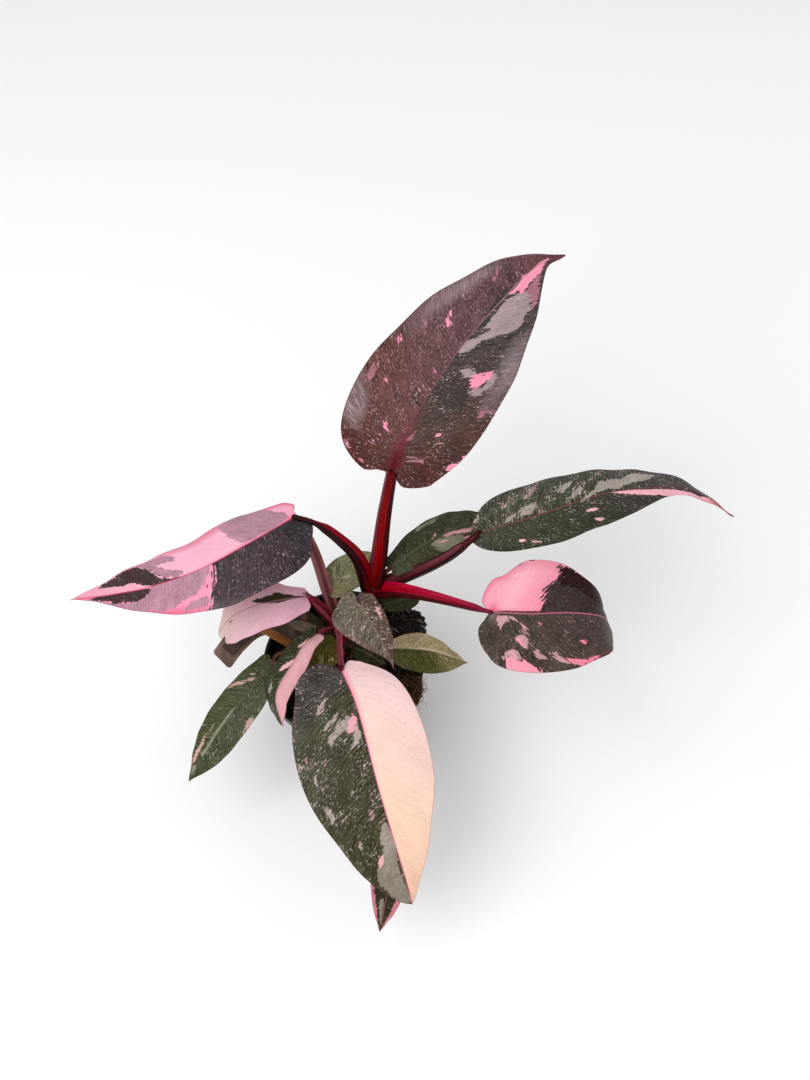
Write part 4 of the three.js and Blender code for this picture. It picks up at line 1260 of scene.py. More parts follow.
def blade_surface(leaf, rows, columns):
    """A blade's upper surface: points, and their lie in mm, reach and share."""
    course = walk(leaf.midrib, STATIONS)
    sides = carried_sides(course, leaf.roll)
    ups = np.cross(sides, course.ahead)
    share = np.linspace(0, 1, rows + 1)
    feet = vein_feet(leaf, share, course.length)
    reaches = np.linspace(0, 1, columns + 1) ** COLUMN_CROWDING
    halves = []
    for sign, half in ((-1, leaf.left), (1, leaf.right)):
        along, across = margin(half, share)
        local_curl = np.zeros(rows + 1)
        for bend in leaf.bends:
            if bend.side == sign:
                local_curl += math.radians(bend.curl) * hump(share, bend.share, bend.spread)
                across = across * (1 - bend.nip * hump(share, bend.share, bend.spread))
        run = feet[:, None] + (along - feet)[:, None] * reaches**VEIN_BEND
        wide = across[:, None] * reaches
        angle = math.radians(half.fold) + math.radians(half.curl) * wide
        angle = angle + local_curl[:, None] * reaches**3
        steps = np.diff(wide, axis=1) * half.width
        middle = (angle[:, 1:] + angle[:, :-1]) / 2
        start = np.zeros((rows + 1, 1))
        out = np.hstack([start, np.cumsum(np.cos(middle) * steps, axis=1)])
        rise = np.hstack([start, np.cumsum(np.sin(middle) * steps, axis=1)])
        station = np.clip(run, 0, 1) * STATIONS
        low = np.minimum(station.astype(int), STATIONS - 1)
        part = (station - low)[..., None]
        centre = course.places[low] * (1 - part) + course.places[low + 1] * part
        side = unit(sides[low] * (1 - part) + sides[low + 1] * part)
        up = unit(ups[low] * (1 - part) + ups[low + 1] * part)
        behind = course.ahead[low] * (np.minimum(0, run) * course.length)[..., None]
        points = centre + behind + side * (sign * out)[..., None] + up * rise[..., None]
        halves.append((points, up))
    left, right = halves
    points = np.concatenate([left[0][:, :0:-1], right[0]], axis=1)
    ups = np.concatenate([left[1][:, :0:-1], right[1]], axis=1)
    reach = np.concatenate([-reaches[:0:-1], reaches])
    reach = np.broadcast_to(reach, points.shape[:2])
    share = np.broadcast_to(share[:, None], points.shape[:2])
    return points, ups, reach, share, course.length


def lie_of(points, columns):
    """Each point's signed distance from the midrib, place along it and gap to the margin."""
    steps = np.linalg.norm(np.diff(points, axis=1), axis=2)
    run = np.hstack([np.zeros((len(points), 1)), np.cumsum(steps, axis=1)])
    off = run - run[:, columns : columns + 1]
    sideways = [points[:, columns // 2], points[:, -columns // 2]]
    drift = [
        np.r_[0, np.cumsum(np.linalg.norm(np.diff(line, axis=0), axis=1))] for line in sideways
    ]
    along = np.where(off < 0, drift[0][:, None], drift[1][:, None])
    gap = np.where(off < 0, run, run[:, -1:] - run)
    return off, along, gap


def mark_field(leaf, tone, reach, share, length):
    """How far inside the nearest mark of a tone each point lies, in mm."""
    field = np.full(reach.shape, -OUTSIDE)
    for mark in leaf.marks:
        if mark.tone == tone:
            half = leaf.left if mark.reach < 0 else leaf.right
            sideways = np.abs((reach - mark.reach) / mark.half_reach) ** mark.square
            lengthways = np.abs((share - mark.share) / mark.half_share) ** mark.square
            size = min(mark.half_reach * half.width, mark.half_share * length * MARK_STRETCH)
            inside = 1 - (sideways + lengthways) ** (1 / mark.square)
            field = np.maximum(field, inside * max(size, LEAST_MARK))
    return field


def inside(corners, x, y):
    """How far inside a closed outline each point lies; negative outside."""
    nearest = np.full(x.shape, np.inf)
    within = np.zeros(x.shape, bool)
    for (ax, ay), (bx, by) in zip(corners, np.roll(corners, -1, axis=0)):
        run_x, run_y = bx - ax, by - ay
        share = ((x - ax) * run_x + (y - ay) * run_y) / (run_x**2 + run_y**2 + 1e-9)
        share = np.clip(share, 0, 1)
        nearest = np.minimum(nearest, np.hypot(x - ax - share * run_x, y - ay - share * run_y))
        crosses = (ay > y) != (by > y)
        with np.errstate(divide="ignore", invalid="ignore"):
            within ^= crosses & (x < run_x * (y - ay) / run_y + ax)
    return np.where(within, nearest, -nearest)


def patch_field(leaf, patch, off, share, length):
    """How far inside a patch each point lies, in mm."""
    reach, at = (np.array(patch.corners) / CORNER_UNITS).T
    to_left = np.interp(at, share[:, 0], -off[:, 0])
    to_right = np.interp(at, share[:, 0], off[:, -1])
    corners = np.stack([reach * np.where(reach < 0, to_left, to_right), at * length], -1)
    size = min(np.ptp(corners[:, 0]), np.ptp(corners[:, 1])) / 2
    return inside(corners, off, share * length) * max(1, LEAST_MARK / size)


def tone_fields(leaf, off, reach, share, length):
    """How far inside the nearest area of each tone each point lies, in mm."""
    fields = {tone: mark_field(leaf, tone, reach, share, length) for tone in TONES}
    cutting = []
    for patch in leaf.patches:
        field = patch_field(leaf, patch, off, share, length)
        if patch.cuts:
            cutting.append((patch, field))
        fields[patch.tone] = np.maximum(fields[patch.tone], field)
    whole_pink = fields["pink"]
    for patch, field in cutting:
        others = [-other for neighbour, other in cutting if neighbour.tone != patch.tone]
        beneath = np.minimum.reduce([field + patch.cuts, whole_pink, *others])
        fields[patch.tone] = np.maximum(fields[patch.tone], beneath)
        fields["pink"] = np.minimum(fields["pink"], -field)
    return fields


def make_lamina(leaf, settings, material):
    """Builds a blade: placed as a sheet, then given its tones, wall and keel."""
    widest = max(leaf.left.width, leaf.right.width)
    rows = max(LEAST_ROWS, round(walk(leaf.midrib, STATIONS).length / settings.row_step))
    columns = max(LEAST_COLUMNS, round(widest / settings.column_step))
    points, ups, reach, share, length = blade_surface(leaf, rows, columns)
    off, along, gap = lie_of(points, columns)
    half_width = (leaf.left.width + leaf.right.width) / 2

    quilt = np.sin(np.pi * along / settings.vein_pitch) ** 2
    inner = smooth(np.abs(off), 1, QUILT_FADE) * smooth(gap, 0.5, QUILT_FADE)
    phase = len(leaf.name)
    ruffle = np.sin(along / half_width * RUFFLE_WAVES + phase) * smooth(np.abs(reach), 0.3, 1)
    groove = MIDRIB_DIP * hump(off, 0, MIDRIB_DIP_WIDTH) * (1 - share)
    wave = settings.ruffle * ruffle * half_width / RUFFLE_WIDTH
    lift = settings.quilt * quilt * inner + wave - groove
    points = points + ups * lift[..., None]

    piece, column, row = sheet(leaf.name + "_lamina", 2 * columns, rows)
    place_points(piece, points[row, column] * MM)
    store = noting(piece, column, row)
    fields = tone_fields(leaf, off, reach, share, length)
    speckle = by_share(stops_of(leaf.look.flecks), share, reach)
    # Painted sheen: how far inside a sheen mark each point lies, less the glow kept in the same
    # field.
    painted_sheen = np.clip(fields["painted_sheen"] / PAINTED_SHEEN_DEPTH, 0, 1)
    painted_sheen = painted_sheen - np.clip(fields["glow"] / GLOW_DEPTH, 0, 1)
    store("lie", off, along, gap)
    store("tones", *(fields[tone] for tone in CUT_TONES))
    store("touch", fields["pink"], speckle, painted_sheen)
    for tone in ("ground", "pink", "mauve", "grey", "dark", "rib"):
        colour = tinted(getattr(leaf.look, tone), share, reach)
        store(tone, *colour, 1.0, kind="FLOAT_COLOR")
    weld(piece)

    upper = len(piece.data.vertices)
    thicken(piece, settings.wall)
    shell = points_of(piece)
    off, _, gap = noted(piece, "lie")[:upper].T
    down = shell[upper:] - shell[:upper]
    thin = MARGIN_WALL + (1 - MARGIN_WALL) * smooth(gap, 0, MARGIN_WIDTH)
    from_foot = np.linalg.norm(shell[:upper] - np.array(leaf.midrib[0]) * MM, axis=1)
    tip_to_base = 1 - np.clip(from_foot / (length * MM), 0, 1)
    girth = leaf.radii[1] * tip_to_base
    keel = girth * KEEL_DEPTH * hump(off, 0, 0.5 + girth)
    shell[upper:] = shell[:upper] + down * (thin + keel / settings.wall)[:, None]
    place_points(piece, shell)
    lie = noted(piece, "lie")
    lie[upper:, 2] *= -1
    piece.data.attributes["lie"].data.foreach_set("vector", lie.ravel())
    slot = "leaf_pink" if leaf.name in PINK_LEAVES else "leaf_dark"
    return finish_piece(piece, material, slot, leaf.name + "_blade")


def make_petiole(leaf, settings, material):
    """Builds a petiole: a tube with a grooved, winged upper side up to its sheath's end."""
    rings, around = 64, 28
    blade = walk(leaf.midrib, STATIONS)
    above = np.cross(carried_sides(blade, leaf.roll), blade.ahead)
    hidden = round(settings.tuck * STATIONS / blade.length)
    joint, end = (
        blade.places[at] - above[at] * leaf.radii[1] * drop
        for at, drop in ((0, JOINT_DROP), (hidden, END_DROP))
    )
    course = walk((*leaf.petiole, tuple(joint), tuple(end)), rings)
    inward = -(course.places[-1] - course.places[0])
    inward[2] = 0
    lean = unit(inward + 1e-6) + UP * settings.lean
    up = unit(lean - course.ahead * (course.ahead @ lean)[:, None])

    share, turn = round_grid(rings, around)
    base, top = leaf.radii
    before, after = SHEATH_FADE
    open_part = 1 - smooth(share, leaf.sheath - before, leaf.sheath + after)
    sheathed = base + (top - base) * share
    left_to_go = (1 - share) * course.length
    taper = 1 - END_TAPER * smooth(-left_to_go, -settings.taper, 0)
    bare = top * (1 + NECK_SWELL * (1 - share)) * taper
    radius = bare + np.maximum(sheathed - bare, 0) * open_part
    height = settings.wing * (1 - WING_DROP * share / leaf.sheath)
    wing = open_part * hump(np.abs(turn), WING_TURN, WING_SPREAD)
    open_channel = CHANNEL_REST + (1 - CHANNEL_REST) * open_part
    channel = open_channel * hump(turn, 0, CHANNEL_SPREAD)
    section = radius * (1 + height * wing - settings.groove * channel)
    piece, column, row = tube(leaf.name + "_petiole", course, up, section)
    store = noting(piece, column, row)
    # The third part of lie tells how far each point faces up, which sets the painted light; upper
    # and lower hold the painted lit and shaded colours.
    store("lie", turn * radius, share * course.length, np.cos(turn))
    store("sheath", wing, channel * open_part, 0.0)
    for name in ("upper", "lower", "wing", "channel"):
        store(name, *tinted(getattr(leaf, name), share, turn), 1.0, kind="FLOAT_COLOR")
    weld(piece)
    return finish_piece(piece, material, "petiole", leaf.name + "_stalk")


# ---------------------------------------------------------------- pot, soil, stick, label

STEM_ROUTE = ((-2, 8, 58), (-1, 10, 74), (4, 14, 95), (11, 20, 112), (17, 25, 126))
STICK_ROUTE = ((-13, 9, 59), (-26.7, 10, 77), (-40.3, 11, 95), (-54, 12, 113))
LABEL_ROUTE = (
    (-65, -8, 100), (-58, 4, 99), (-49, 15, 96), (-38, 20, 90), (-28, 19, 80), (-24, 17, 69),
    (-23, 16, 62),
)
LABEL_ROLL = (-46, -30)
SOIL_LUMP = {"centre": (35, 23, 79), "size": (20, 19, 13)}
ROOT_CLUMP = {"centre": (38, -17, 79), "size": (12, 17, 9)}
STEM_NODES = (0.3, 0.46, 0.6, 0.72, 0.83, 0.92)
STEM_RADII = (4.3, 0.7)  # at the soil, and how much is lost by the crown
STEM_GIRTH = 4
SOIL_GAP = 2  # between the soil and the pot's outer skin
SOIL_FLOOR = 5
SOIL_SHOULDER = 2  # how far below its top the soil's side starts
SOIL_CORE = 8  # radius of the innermost ring of its floor
HEAP_SHARE = 4  # one chip in so many lies on the heap at the rim
HEAP_SINK = 0.96
CHIP_SIZE = (0.45, 1.2)  # least and greatest, in the set length of a chip
CHIP_WIDTH = (0.4, 0.7)
CHIP_DEPTH = (0.15, 0.3)
CHIP_TILT = 0.35
FIBRE_LENGTH = (4, 10)
FIBRE_RADIUS = (0.14, 0.3)
FIBRE_ROOT = (0.85, 1.05)  # where fibres start, in the clump's radii
FIBRE_STEPS = 6
FIBRE_WANDER = 0.45
FIBRE_TAPER = 0.8
FIBRE_PULL = 0.16
LABEL_CORNER = 1.6
PANEL_EDGE = 2.2
PANEL_MIDDLE, PANEL_HALF = 17, 11
HUB_RADIUS = 10  # of the sunk middle of the pot's floor
POT_SLOPE = 1.3
FOOT_RING = 2.6
STEP_HEIGHT = 14
STEP_OUT = (0.1, 0.7)  # how far the wall stands out below and above the step
LIP_ROLL = 0.35
LIP_WIDTH = 1.7
HOLE_RADIUS = 2
HOLE_SIDES = 24
DRILL_LENGTH = 20
POT_SIDES = 120
POT_EASE = 0.3


def stem_finish():
    """Stem bark: dull red-green skin, brown rings at the leaf scars."""
    skin = Finish("stem")
    around, along, scar = skin.parts(skin.attribute("lie"))
    streaks = skin.mottle(skin.vector(around, along / 8), 1.1, 3.0)
    colour = skin.mix((streaks + 0.4).step(0.1, 0.7), opaque("#3a2a1c"), opaque("#5a3a2c"))
    colour = skin.mix(scar, colour, opaque("#2a160e"))
    return skin.paint(colour, streaks * 0.2 + 0.5, streaks + scar * 0.4, 0.4)


def pot_finish(pot):
    """Thin black plastic with faint flow lines, scuffs and dust."""
    skin = Finish("black plastic", Specular_IOR_Level=0.4)
    x, y, z = skin.parts(skin.place())
    flow = skin.mottle(skin.vector(x, y, z * 0.2), 6, 3)
    scuffs = skin.mottle(skin.vector(x * 0.3, y * 0.3, z * 2), 1.6, 4, 0.7).step(0.12, 0.3)
    dust = skin.mottle(skin.place(), 3.5, 5, 0.65).step(0.05, 0.4)
    colour = skin.mix(scuffs * 0.3, pot.plastic, opaque("#26231f"))
    colour = skin.mix(dust * 0.35, colour, opaque("#2c2018"))
    relief = flow * 0.5 + skin.mottle(skin.place(), 0.5, 2) * 0.35
    return skin.paint(colour, dust * 0.25 + scuffs * 0.12 + 0.38, relief, 0.12)


def soil_finish(name, deep, mid, light):
    """Crumbly potting mix: three browns in clods and grains, with a rough relief."""
    skin = Finish(name, Specular_IOR_Level=0.25)
    place = skin.place()
    clods = skin.mottle(place, 4.5, 5, 0.65)
    grains = skin.cells(place, 1.1)
    colour = skin.mix((clods + 0.5).step(0.35, 0.75), opaque(deep), mid)
    colour = skin.mix(grains.step(0.45, 0.8) * clods.step(0, 0.2), colour, opaque(light))
    relief = clods * 1.4 - grains * 0.5
    return skin.paint(colour, clods * 0.3 + 0.8, relief, 0.9)


def chip_finish(name, dark, light, pale):
    """Bark chips and fibres: each has its own shade between two browns."""
    skin = Finish(name, Specular_IOR_Level=0.35)
    shade, streak, _ = skin.parts(skin.attribute("lie"))
    grain = skin.mottle(skin.place(), 1.2, 4, 0.7)
    colour = skin.mix(shade, opaque(dark), opaque(light))
    # A few take the pale colour: on the bark a painted glint, among the fibres a paler strand.
    colour = skin.mix(streak.step(0.86, 0.9) * 0.8, colour, opaque(pale))
    colour = skin.brighten(colour, grain * 1.4 + 1.0)
    return skin.paint(colour, grain * 0.4 + 0.65, grain, 0.5)


def bamboo_finish(stick):
    """Bamboo: tan skin streaked lengthwise, a darker ring at each node."""
    skin = Finish("bamboo", Specular_IOR_Level=0.5)
    around, along, node = skin.parts(skin.attribute("lie"))
    streaks = skin.mottle(skin.vector(around, along / 16), 0.8, 4, 0.65)
    blotch = skin.mottle(skin.vector(around / 2, along / 3), 3.0, 2)
    colour = skin.mix((streaks + 0.5).step(0.3, 0.7), stick.streak, stick.bamboo)
    colour = skin.mix(blotch.step(0.1, 0.35) * 0.5, colour, opaque("#5a3214"))
    colour = skin.mix(node, colour, opaque("#4a2a12"))
    return skin.paint(colour, streaks * 0.3 + 0.42, streaks, 0.15)


def label_finish(label):
    """Taupe plastic, clouded darker, with a bare darker panel."""
    skin = Finish("label plastic", Specular_IOR_Level=0.5)
    across, along, panel = skin.parts(skin.attribute("lie"))
    mottle = skin.mottle(skin.vector(across, along), 1.3, 4, 0.7)
    cloud = skin.mottle(skin.vector(across, along), 7, 3)
    colour = skin.mix((cloud + 0.5).step(0.3, 0.7), label.cloud, label.plastic)
    printed = panel.step(-0.25, 0.25) * (mottle.step(-0.25, 0.1) * 0.35 + 0.55)
    colour = skin.mix(printed, colour, opaque("#3a2c26"))
    return skin.paint(colour, mottle * 0.3 + 0.45, mottle, 0.08)


def wall_radius(pot, height):
    """The pot's outer radius at a height below its lip."""
    share = height / (pot.height - pot.lip)
    return pot.foot_radius + (pot.rim_radius - pot.lip_step - pot.foot_radius) * share


def soil_brow(pot, soil):
    """The radius of the soil's top."""
    return wall_radius(pot, soil.top) - SOIL_GAP


def soil_height(x, y, soil, brow):
    """The soil's top at a point: a low mound with clods."""
    clods = noise.fractal(Vector((x, y, 7)) / soil.clod, 0.6, 2.1, 4)
    return soil.top + soil.mound * (1 - (x * x + y * y) / brow**2) + soil.relief * clods


def make_soil(pot, soil, material):
    """Builds the soil: a polar sheet with clods on top, and plain sides and floor."""
    columns, rings = 144, 46
    brow = soil_brow(pot, soil)
    piece, column, row = sheet("soil_surface", columns, rings + 4)
    turn = -2 * math.pi * column / columns
    radius = brow * np.minimum(row / rings, 1)
    below = np.clip(row - rings, 0, 3)
    radius = np.where(below == 2, wall_radius(pot, SOIL_FLOOR) - SOIL_GAP, radius)
    radius = np.where(row == rings + 3, SOIL_CORE, radius)
    radius = np.where(row == rings + 4, 0, radius)
    x, y = radius * np.cos(turn), radius * np.sin(turn)
    tops = np.array([soil_height(a, b, soil, brow) for a, b in zip(x, y)])
    z = np.where(below == 0, tops, SOIL_FLOOR)
    z = np.where(below == 1, soil.top - SOIL_SHOULDER, z)
    place_points(piece, np.stack([x, y, z], -1) * MM)
    weld(piece, 0.01 * MM)
    return finish_piece(piece, material, "soil", "soil", crease=70)


def chip_shape(name):
    """One bark chip, modelled once: a box with worn, uneven corners."""
    chip = added(name, bpy.ops.mesh.primitive_cube_add, size=1)
    modified(chip, "worn edges", "BEVEL", width=0.16, segments=1)
    bpy.ops.object.mode_set(mode="EDIT")
    bpy.ops.mesh.select_all(action="SELECT")
    bpy.ops.transform.vertex_random(offset=0.1, seed=3)
    bpy.ops.object.mode_set(mode="OBJECT")
    points = points_of(chip)
    faces = [list(face.vertices) for face in chip.data.polygons]
    bpy.data.objects.remove(chip)
    return points, faces


def turned_about(points, angles):
    """Points turned about x, then y, then z."""
    for axis, angle in enumerate(angles):
        first, second = (axis + 1) % 3, (axis + 2) % 3
        a, b = points[:, first].copy(), points[:, second].copy()
        points[:, first] = a * math.cos(angle) - b * math.sin(angle)
        points[:, second] = a * math.sin(angle) + b * math.cos(angle)
    return points


def middle_and_half(lump):
    """A lump's middle and half its size, mm."""
    return np.array(lump["centre"]), np.array(lump["size"]) / 2


def make_chips(pot, soil, material):
    """Scatters bark chips over the soil and the heap at the rim."""
    dice = random.Random(soil.seed)
    base, faces = chip_shape("chip")
    brow = soil_brow(pot, soil)
    shapes, shades = [], []
    for number in range(soil.chips):
        size = soil.chip * dice.uniform(*CHIP_SIZE)
        box = size * np.array((1, dice.uniform(*CHIP_WIDTH), dice.uniform(*CHIP_DEPTH)))
        tilt = (dice.gauss(0, CHIP_TILT), dice.gauss(0, CHIP_TILT), dice.uniform(0, 2 * math.pi))
        if number % HEAP_SHARE:
            radius = (brow - 3) * math.sqrt(dice.random())
            turn = dice.uniform(0, 2 * math.pi)
            x, y = radius * math.cos(turn), radius * math.sin(turn)
            place = (x, y, soil_height(x, y, soil, brow) + 0.3)
        else:
            away = Vector((dice.gauss(0, 1), dice.gauss(0, 1), abs(dice.gauss(0, 1)))).normalized()
            middle, half = middle_and_half(SOIL_LUMP)
            place = middle + half * np.array(away) * HEAP_SINK
            tilt = (dice.uniform(0, 6), dice.uniform(0, 6), tilt[2])
        shapes.append((turned_about(base * box, tilt) + np.array(place), faces))
        shades += [(dice.random() ** 2, dice.random(), 0)] * len(base)
    piece = scattered("bark_chips", shapes)
    note(piece, "lie", shades)
    return finish_piece(piece, material, "soil", crease=30)


def make_lump(name, lump, grain, depth, material, slot, node):
    """Builds a heap: a ball shaped to size and roughened by noise."""
    piece = added(name, bpy.ops.mesh.primitive_ico_sphere_add, subdivisions=5, radius=1)
    middle, half = middle_and_half(lump)
    places = points_of(piece) * half
    swell = [noise.fractal(Vector(point) / grain, 0.7, 2.2, 4) for point in places]
    places = places * (1 + depth * np.array(swell))[:, None] + middle
    place_points(piece, places * MM)
    return finish_piece(piece, material, slot, node, crease=60)


def strand(dice, start, heading, length, thick, pull):
    """One fibre: a thin three-sided tube that wanders, drawn back towards a middle."""
    steps = FIBRE_STEPS
    places = [np.array(start, float)]
    ahead = unit(np.array(heading, float))
    for _ in range(steps):
        stray = np.array([dice.gauss(0, FIBRE_WANDER) for _ in range(3)])
        ahead = unit(ahead + stray + pull(places[-1]))
        places.append(places[-1] + ahead * length / steps)
    places = np.array(places)
    side = unit(np.cross(ahead, (0.3, 0.5, 0.8)))
    other = np.cross(ahead, side)
    points = []
    for index, place in enumerate(places):
        radius = thick * (1 - FIBRE_TAPER * index / steps)
        for turn in (0, 2.1, 4.2):
            points.append(place + (side * math.cos(turn) + other * math.sin(turn)) * radius)
    faces = [[0, 2, 1], [3 * steps, 3 * steps + 1, 3 * steps + 2]]
    for ring in range(steps):
        for corner in range(3):
            a, b = 3 * ring + corner, 3 * ring + (corner + 1) % 3
            faces.append([a, b, b + 3, a + 3])
    return np.array(points), faces


def make_fibres(soil, material):
    """Wraps the root clump in fibres."""
    dice = random.Random(soil.seed + 1)
    middle, half = middle_and_half(ROOT_CLUMP)
    shapes, shades = [], []
    for _ in range(soil.fibres):
        away = unit(np.array([dice.gauss(0, 1) for _ in range(3)]))
        start = middle + half * away * dice.uniform(*FIBRE_ROOT)
        heading = np.cross(away, [dice.gauss(0, 1) for _ in range(3)]) + away * 0.15

        def pull(place):
            """How strongly, and which way, the clump draws a fibre back."""
            return (middle - place) / half * FIBRE_PULL

        length, thick = dice.uniform(*FIBRE_LENGTH), dice.uniform(*FIBRE_RADIUS)
        shape = strand(dice, start, heading, length, thick, pull)
        shapes.append(shape)
        shades += [(dice.random(), dice.random(), 0)] * len(shape[0])
    piece = scattered("clump_fibres", shapes)
    note(piece, "lie", shades)
    return finish_piece(piece, material, "roots", crease=180)


def make_rod(name, course, section, grid, girth, nodes, *finished):
    """Builds a rod along a course, and notes where each point and each node lies on it."""
    share, turn = grid
    up = unit(np.cross(carried_sides(course, (0, 0)), course.ahead))
    piece, column, row = tube(name, course, up, section)
    store = noting(piece, column, row)
    store("lie", turn * girth, share * course.length, np.clip(nodes, 0, 1))
    weld(piece)
    return finish_piece(piece, *finished)


def make_stem(material):
    """Builds the stem with a swollen ring and a scar at each node."""
    rings = 72
    grid = share, turn = round_grid(rings, 24)
    nodes = sum(hump(share, node, 0.018) for node in STEM_NODES)
    lumps = 0.05 * np.sin(3 * turn + 9 * share) + 0.03 * np.sin(7 * turn - 20 * share)
    section = (STEM_RADII[0] - STEM_RADII[1] * share) * (1 + 0.12 * nodes + lumps)
    course = walk(STEM_ROUTE, rings)
    return make_rod(
        "stem_core", course, section, grid, STEM_GIRTH, nodes, material, "stem", "stem"
    )


def make_stick(settings, material):
    """Builds the bamboo stick: a straight tube with two nodes."""
    rings = 90
    grid = share, turn = round_grid(rings, 24)
    nodes = hump(share, 0.3, 0.012) + hump(share, 0.78, 0.012)
    section = settings.radius * (1 + 0.1 * nodes - 0.05 * hump(share, 0.33, 0.03) + 0 * turn)
    return make_rod(
        "bamboo_stick", walk(STICK_ROUTE, rings), section, grid, settings.radius, nodes,
        material, "stick", "support_stick",
    )


def make_label(settings, material):
    """Builds the label: a bent strip with a pointed foot, rounded corners and a wall."""
    rows, columns = 84, 12
    course = walk(LABEL_ROUTE, rows)
    side = carried_sides(course, LABEL_ROLL)
    run = np.linspace(0, course.length, rows + 1)
    half = settings.width / 2
    corner = np.sqrt(np.clip(1 - (1 - np.minimum(run / LABEL_CORNER, 1)) ** 2, 0, 1))
    reach = half - LABEL_CORNER * (1 - corner)
    reach = reach * np.clip((course.length - run) / settings.point, 0, 1)
    across = np.linspace(-1, 1, columns + 1)
    offset = reach[:, None] * across
    places = course.places[:, None] + side[:, None] * offset[..., None]
    piece, column, row = sheet("bent_label", columns, rows)
    place_points(piece, places[row, column] * MM)
    from_middle = np.abs(run - PANEL_MIDDLE)[:, None]
    panel = np.minimum(half - PANEL_EDGE - np.abs(offset), PANEL_HALF - from_middle)
    noting(piece, column, row)("lie", offset, run[:, None], panel)
    weld(piece)
    thicken(piece, settings.wall)
    return finish_piece(piece, material, "label", "plant_label", crease=40)


def make_pot(pot, material):
    """Builds the pot by turning its profile, drills its drain holes and eases its edges."""
    lip_foot = pot.height - pot.lip
    rim, wall = pot.rim_radius, pot.wall
    floor = pot.floor_lift + wall
    ring = pot.foot_radius - FOOT_RING
    below, above = (
        (wall_radius(pot, STEP_HEIGHT + rise) + out, STEP_HEIGHT + rise)
        for rise, out in enumerate(STEP_OUT)
    )
    profile = (
        (HUB_RADIUS, 0), (HUB_RADIUS + POT_SLOPE, pot.floor_lift),
        (ring - POT_SLOPE, pot.floor_lift), (ring, 0), (pot.foot_radius, 0), below, above,
        (wall_radius(pot, lip_foot), lip_foot), (rim, lip_foot + pot.lip_step),
        (rim, pot.height - 0.9), (rim + LIP_ROLL, pot.height - 0.6),
        (rim + 0.2, pot.height), (rim - LIP_WIDTH, pot.height),
        (wall_radius(pot, lip_foot) - wall, lip_foot), (wall_radius(pot, floor) - wall, floor),
        (HUB_RADIUS, floor), (HUB_RADIUS - POT_SLOPE, wall),
    )
    piece = turned("pot_shell", profile, POT_SIDES)
    for number in range(pot.holes):
        turn = 2 * math.pi * number / pot.holes
        place = Vector((math.cos(turn), math.sin(turn), 0)) * pot.hole_circle * MM
        drill = added(
            "drill", bpy.ops.mesh.primitive_cylinder_add,
            vertices=HOLE_SIDES, radius=HOLE_RADIUS * MM, depth=DRILL_LENGTH * MM, location=place,
        )
        bpy.context.view_layer.objects.active = piece
        modified(piece, "drain hole", "BOOLEAN", object=drill, operation="DIFFERENCE")
        bpy.data.objects.remove(drill)
    modified(
        piece, "eased edges", "BEVEL",
        width=POT_EASE * MM, segments=2, limit_method="ANGLE", angle_limit=math.radians(30),
    )
    return finish_piece(piece, material, "pot", "nursery_pot", crease=35)


# ---------------------------------------------------------------- settings


def setting(name, description, default, **more):
    """A number that a user may change."""
    return FloatProperty(name=name, description=description, default=default, **more)


def tint(name, description, code):
    """A colour that a user may change."""
    return FloatVectorProperty(
        name=name, description=description, default=opaque(code), size=4, min=0, max=1,
        subtype="COLOR",
    )


def factor(name, description, default):
    """A share from 0 to 1 that a user may change."""
    return setting(name, description, default, subtype="FACTOR", min=0, max=1)


class LeafSettings(bpy.types.PropertyGroup):
    """Surface and build of the blades."""

    wall: setting("Thickness", "Blade thickness, mm", 0.55)
    row_step: setting("Row step", "Mesh step along a blade, mm", 1.0)
    column_step: setting("Column step", "Mesh step across a blade, mm", 1.1)
    vein_pitch: setting("Vein pitch", "Distance between lateral veins, mm", 4.6)
    vein_depth: setting("Vein depth", "Relief of the veins, mm", 0.22)
    quilt: setting("Quilt", "Swell between the veins, mm", 0.07)
    ruffle: setting("Ruffle", "Wave of the margins, mm", 0.8)
    tearing: setting("Tearing", "How far tones' edges are torn along the veins, mm", 4.6)
    roughness: factor("Roughness", "Roughness of the upper side", 0.42)
    gloss: factor("Gloss", "Specular level of the skin", 0.1)
    rim: tint("Rim", "Colour of the margin", "#5d1520")
    back: tint("Underside", "Colour of the underside", "#5a2a24")
    pink_back: tint("Pink underside", "Underside behind the pink", "#d98f96")


class PetioleSettings(bpy.types.PropertyGroup):
    """Section of the petioles."""

    wing: factor("Wing", "Height of the sheath's wings, in radii", 0.36)
    groove: factor("Groove", "Depth of the channel, in radii", 0.55)
    lean: factor("Lean", "How far the channel faces up rather than inwards", 0.6)
    tuck: setting("Tuck", "Run under the blade's keel, mm", 7)
    taper: setting("Taper", "Length of the thinned end, mm", 8)


POT_BOX = [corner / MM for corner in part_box("nursery_pot")]


class PotSettings(bpy.types.PropertyGroup):
    """Sizes of the pot, mm."""

    height: setting("Height", "Height, mm", POT_BOX[1].z)
    rim_radius: setting("Rim radius", "Outer radius of the lip, mm", POT_BOX[1].x)
    foot_radius: setting("Foot radius", "Radius at the foot, mm", 32)
    lip: setting("Lip", "Height of the lip, mm", 9)
    lip_step: setting("Lip step", "How far the lip stands out, mm", 1.6)
    wall: setting("Wall", "Wall thickness, mm", 1.3)
    floor_lift: setting("Floor lift", "Floor above the foot, mm", 3)
    holes: IntProperty(name="Holes", description="Number of drain holes", default=6)
    hole_circle: setting("Hole circle", "Radius of their ring, mm", 20)
    plastic: tint("Plastic", "Colour of the pot", "#0c0b0b")


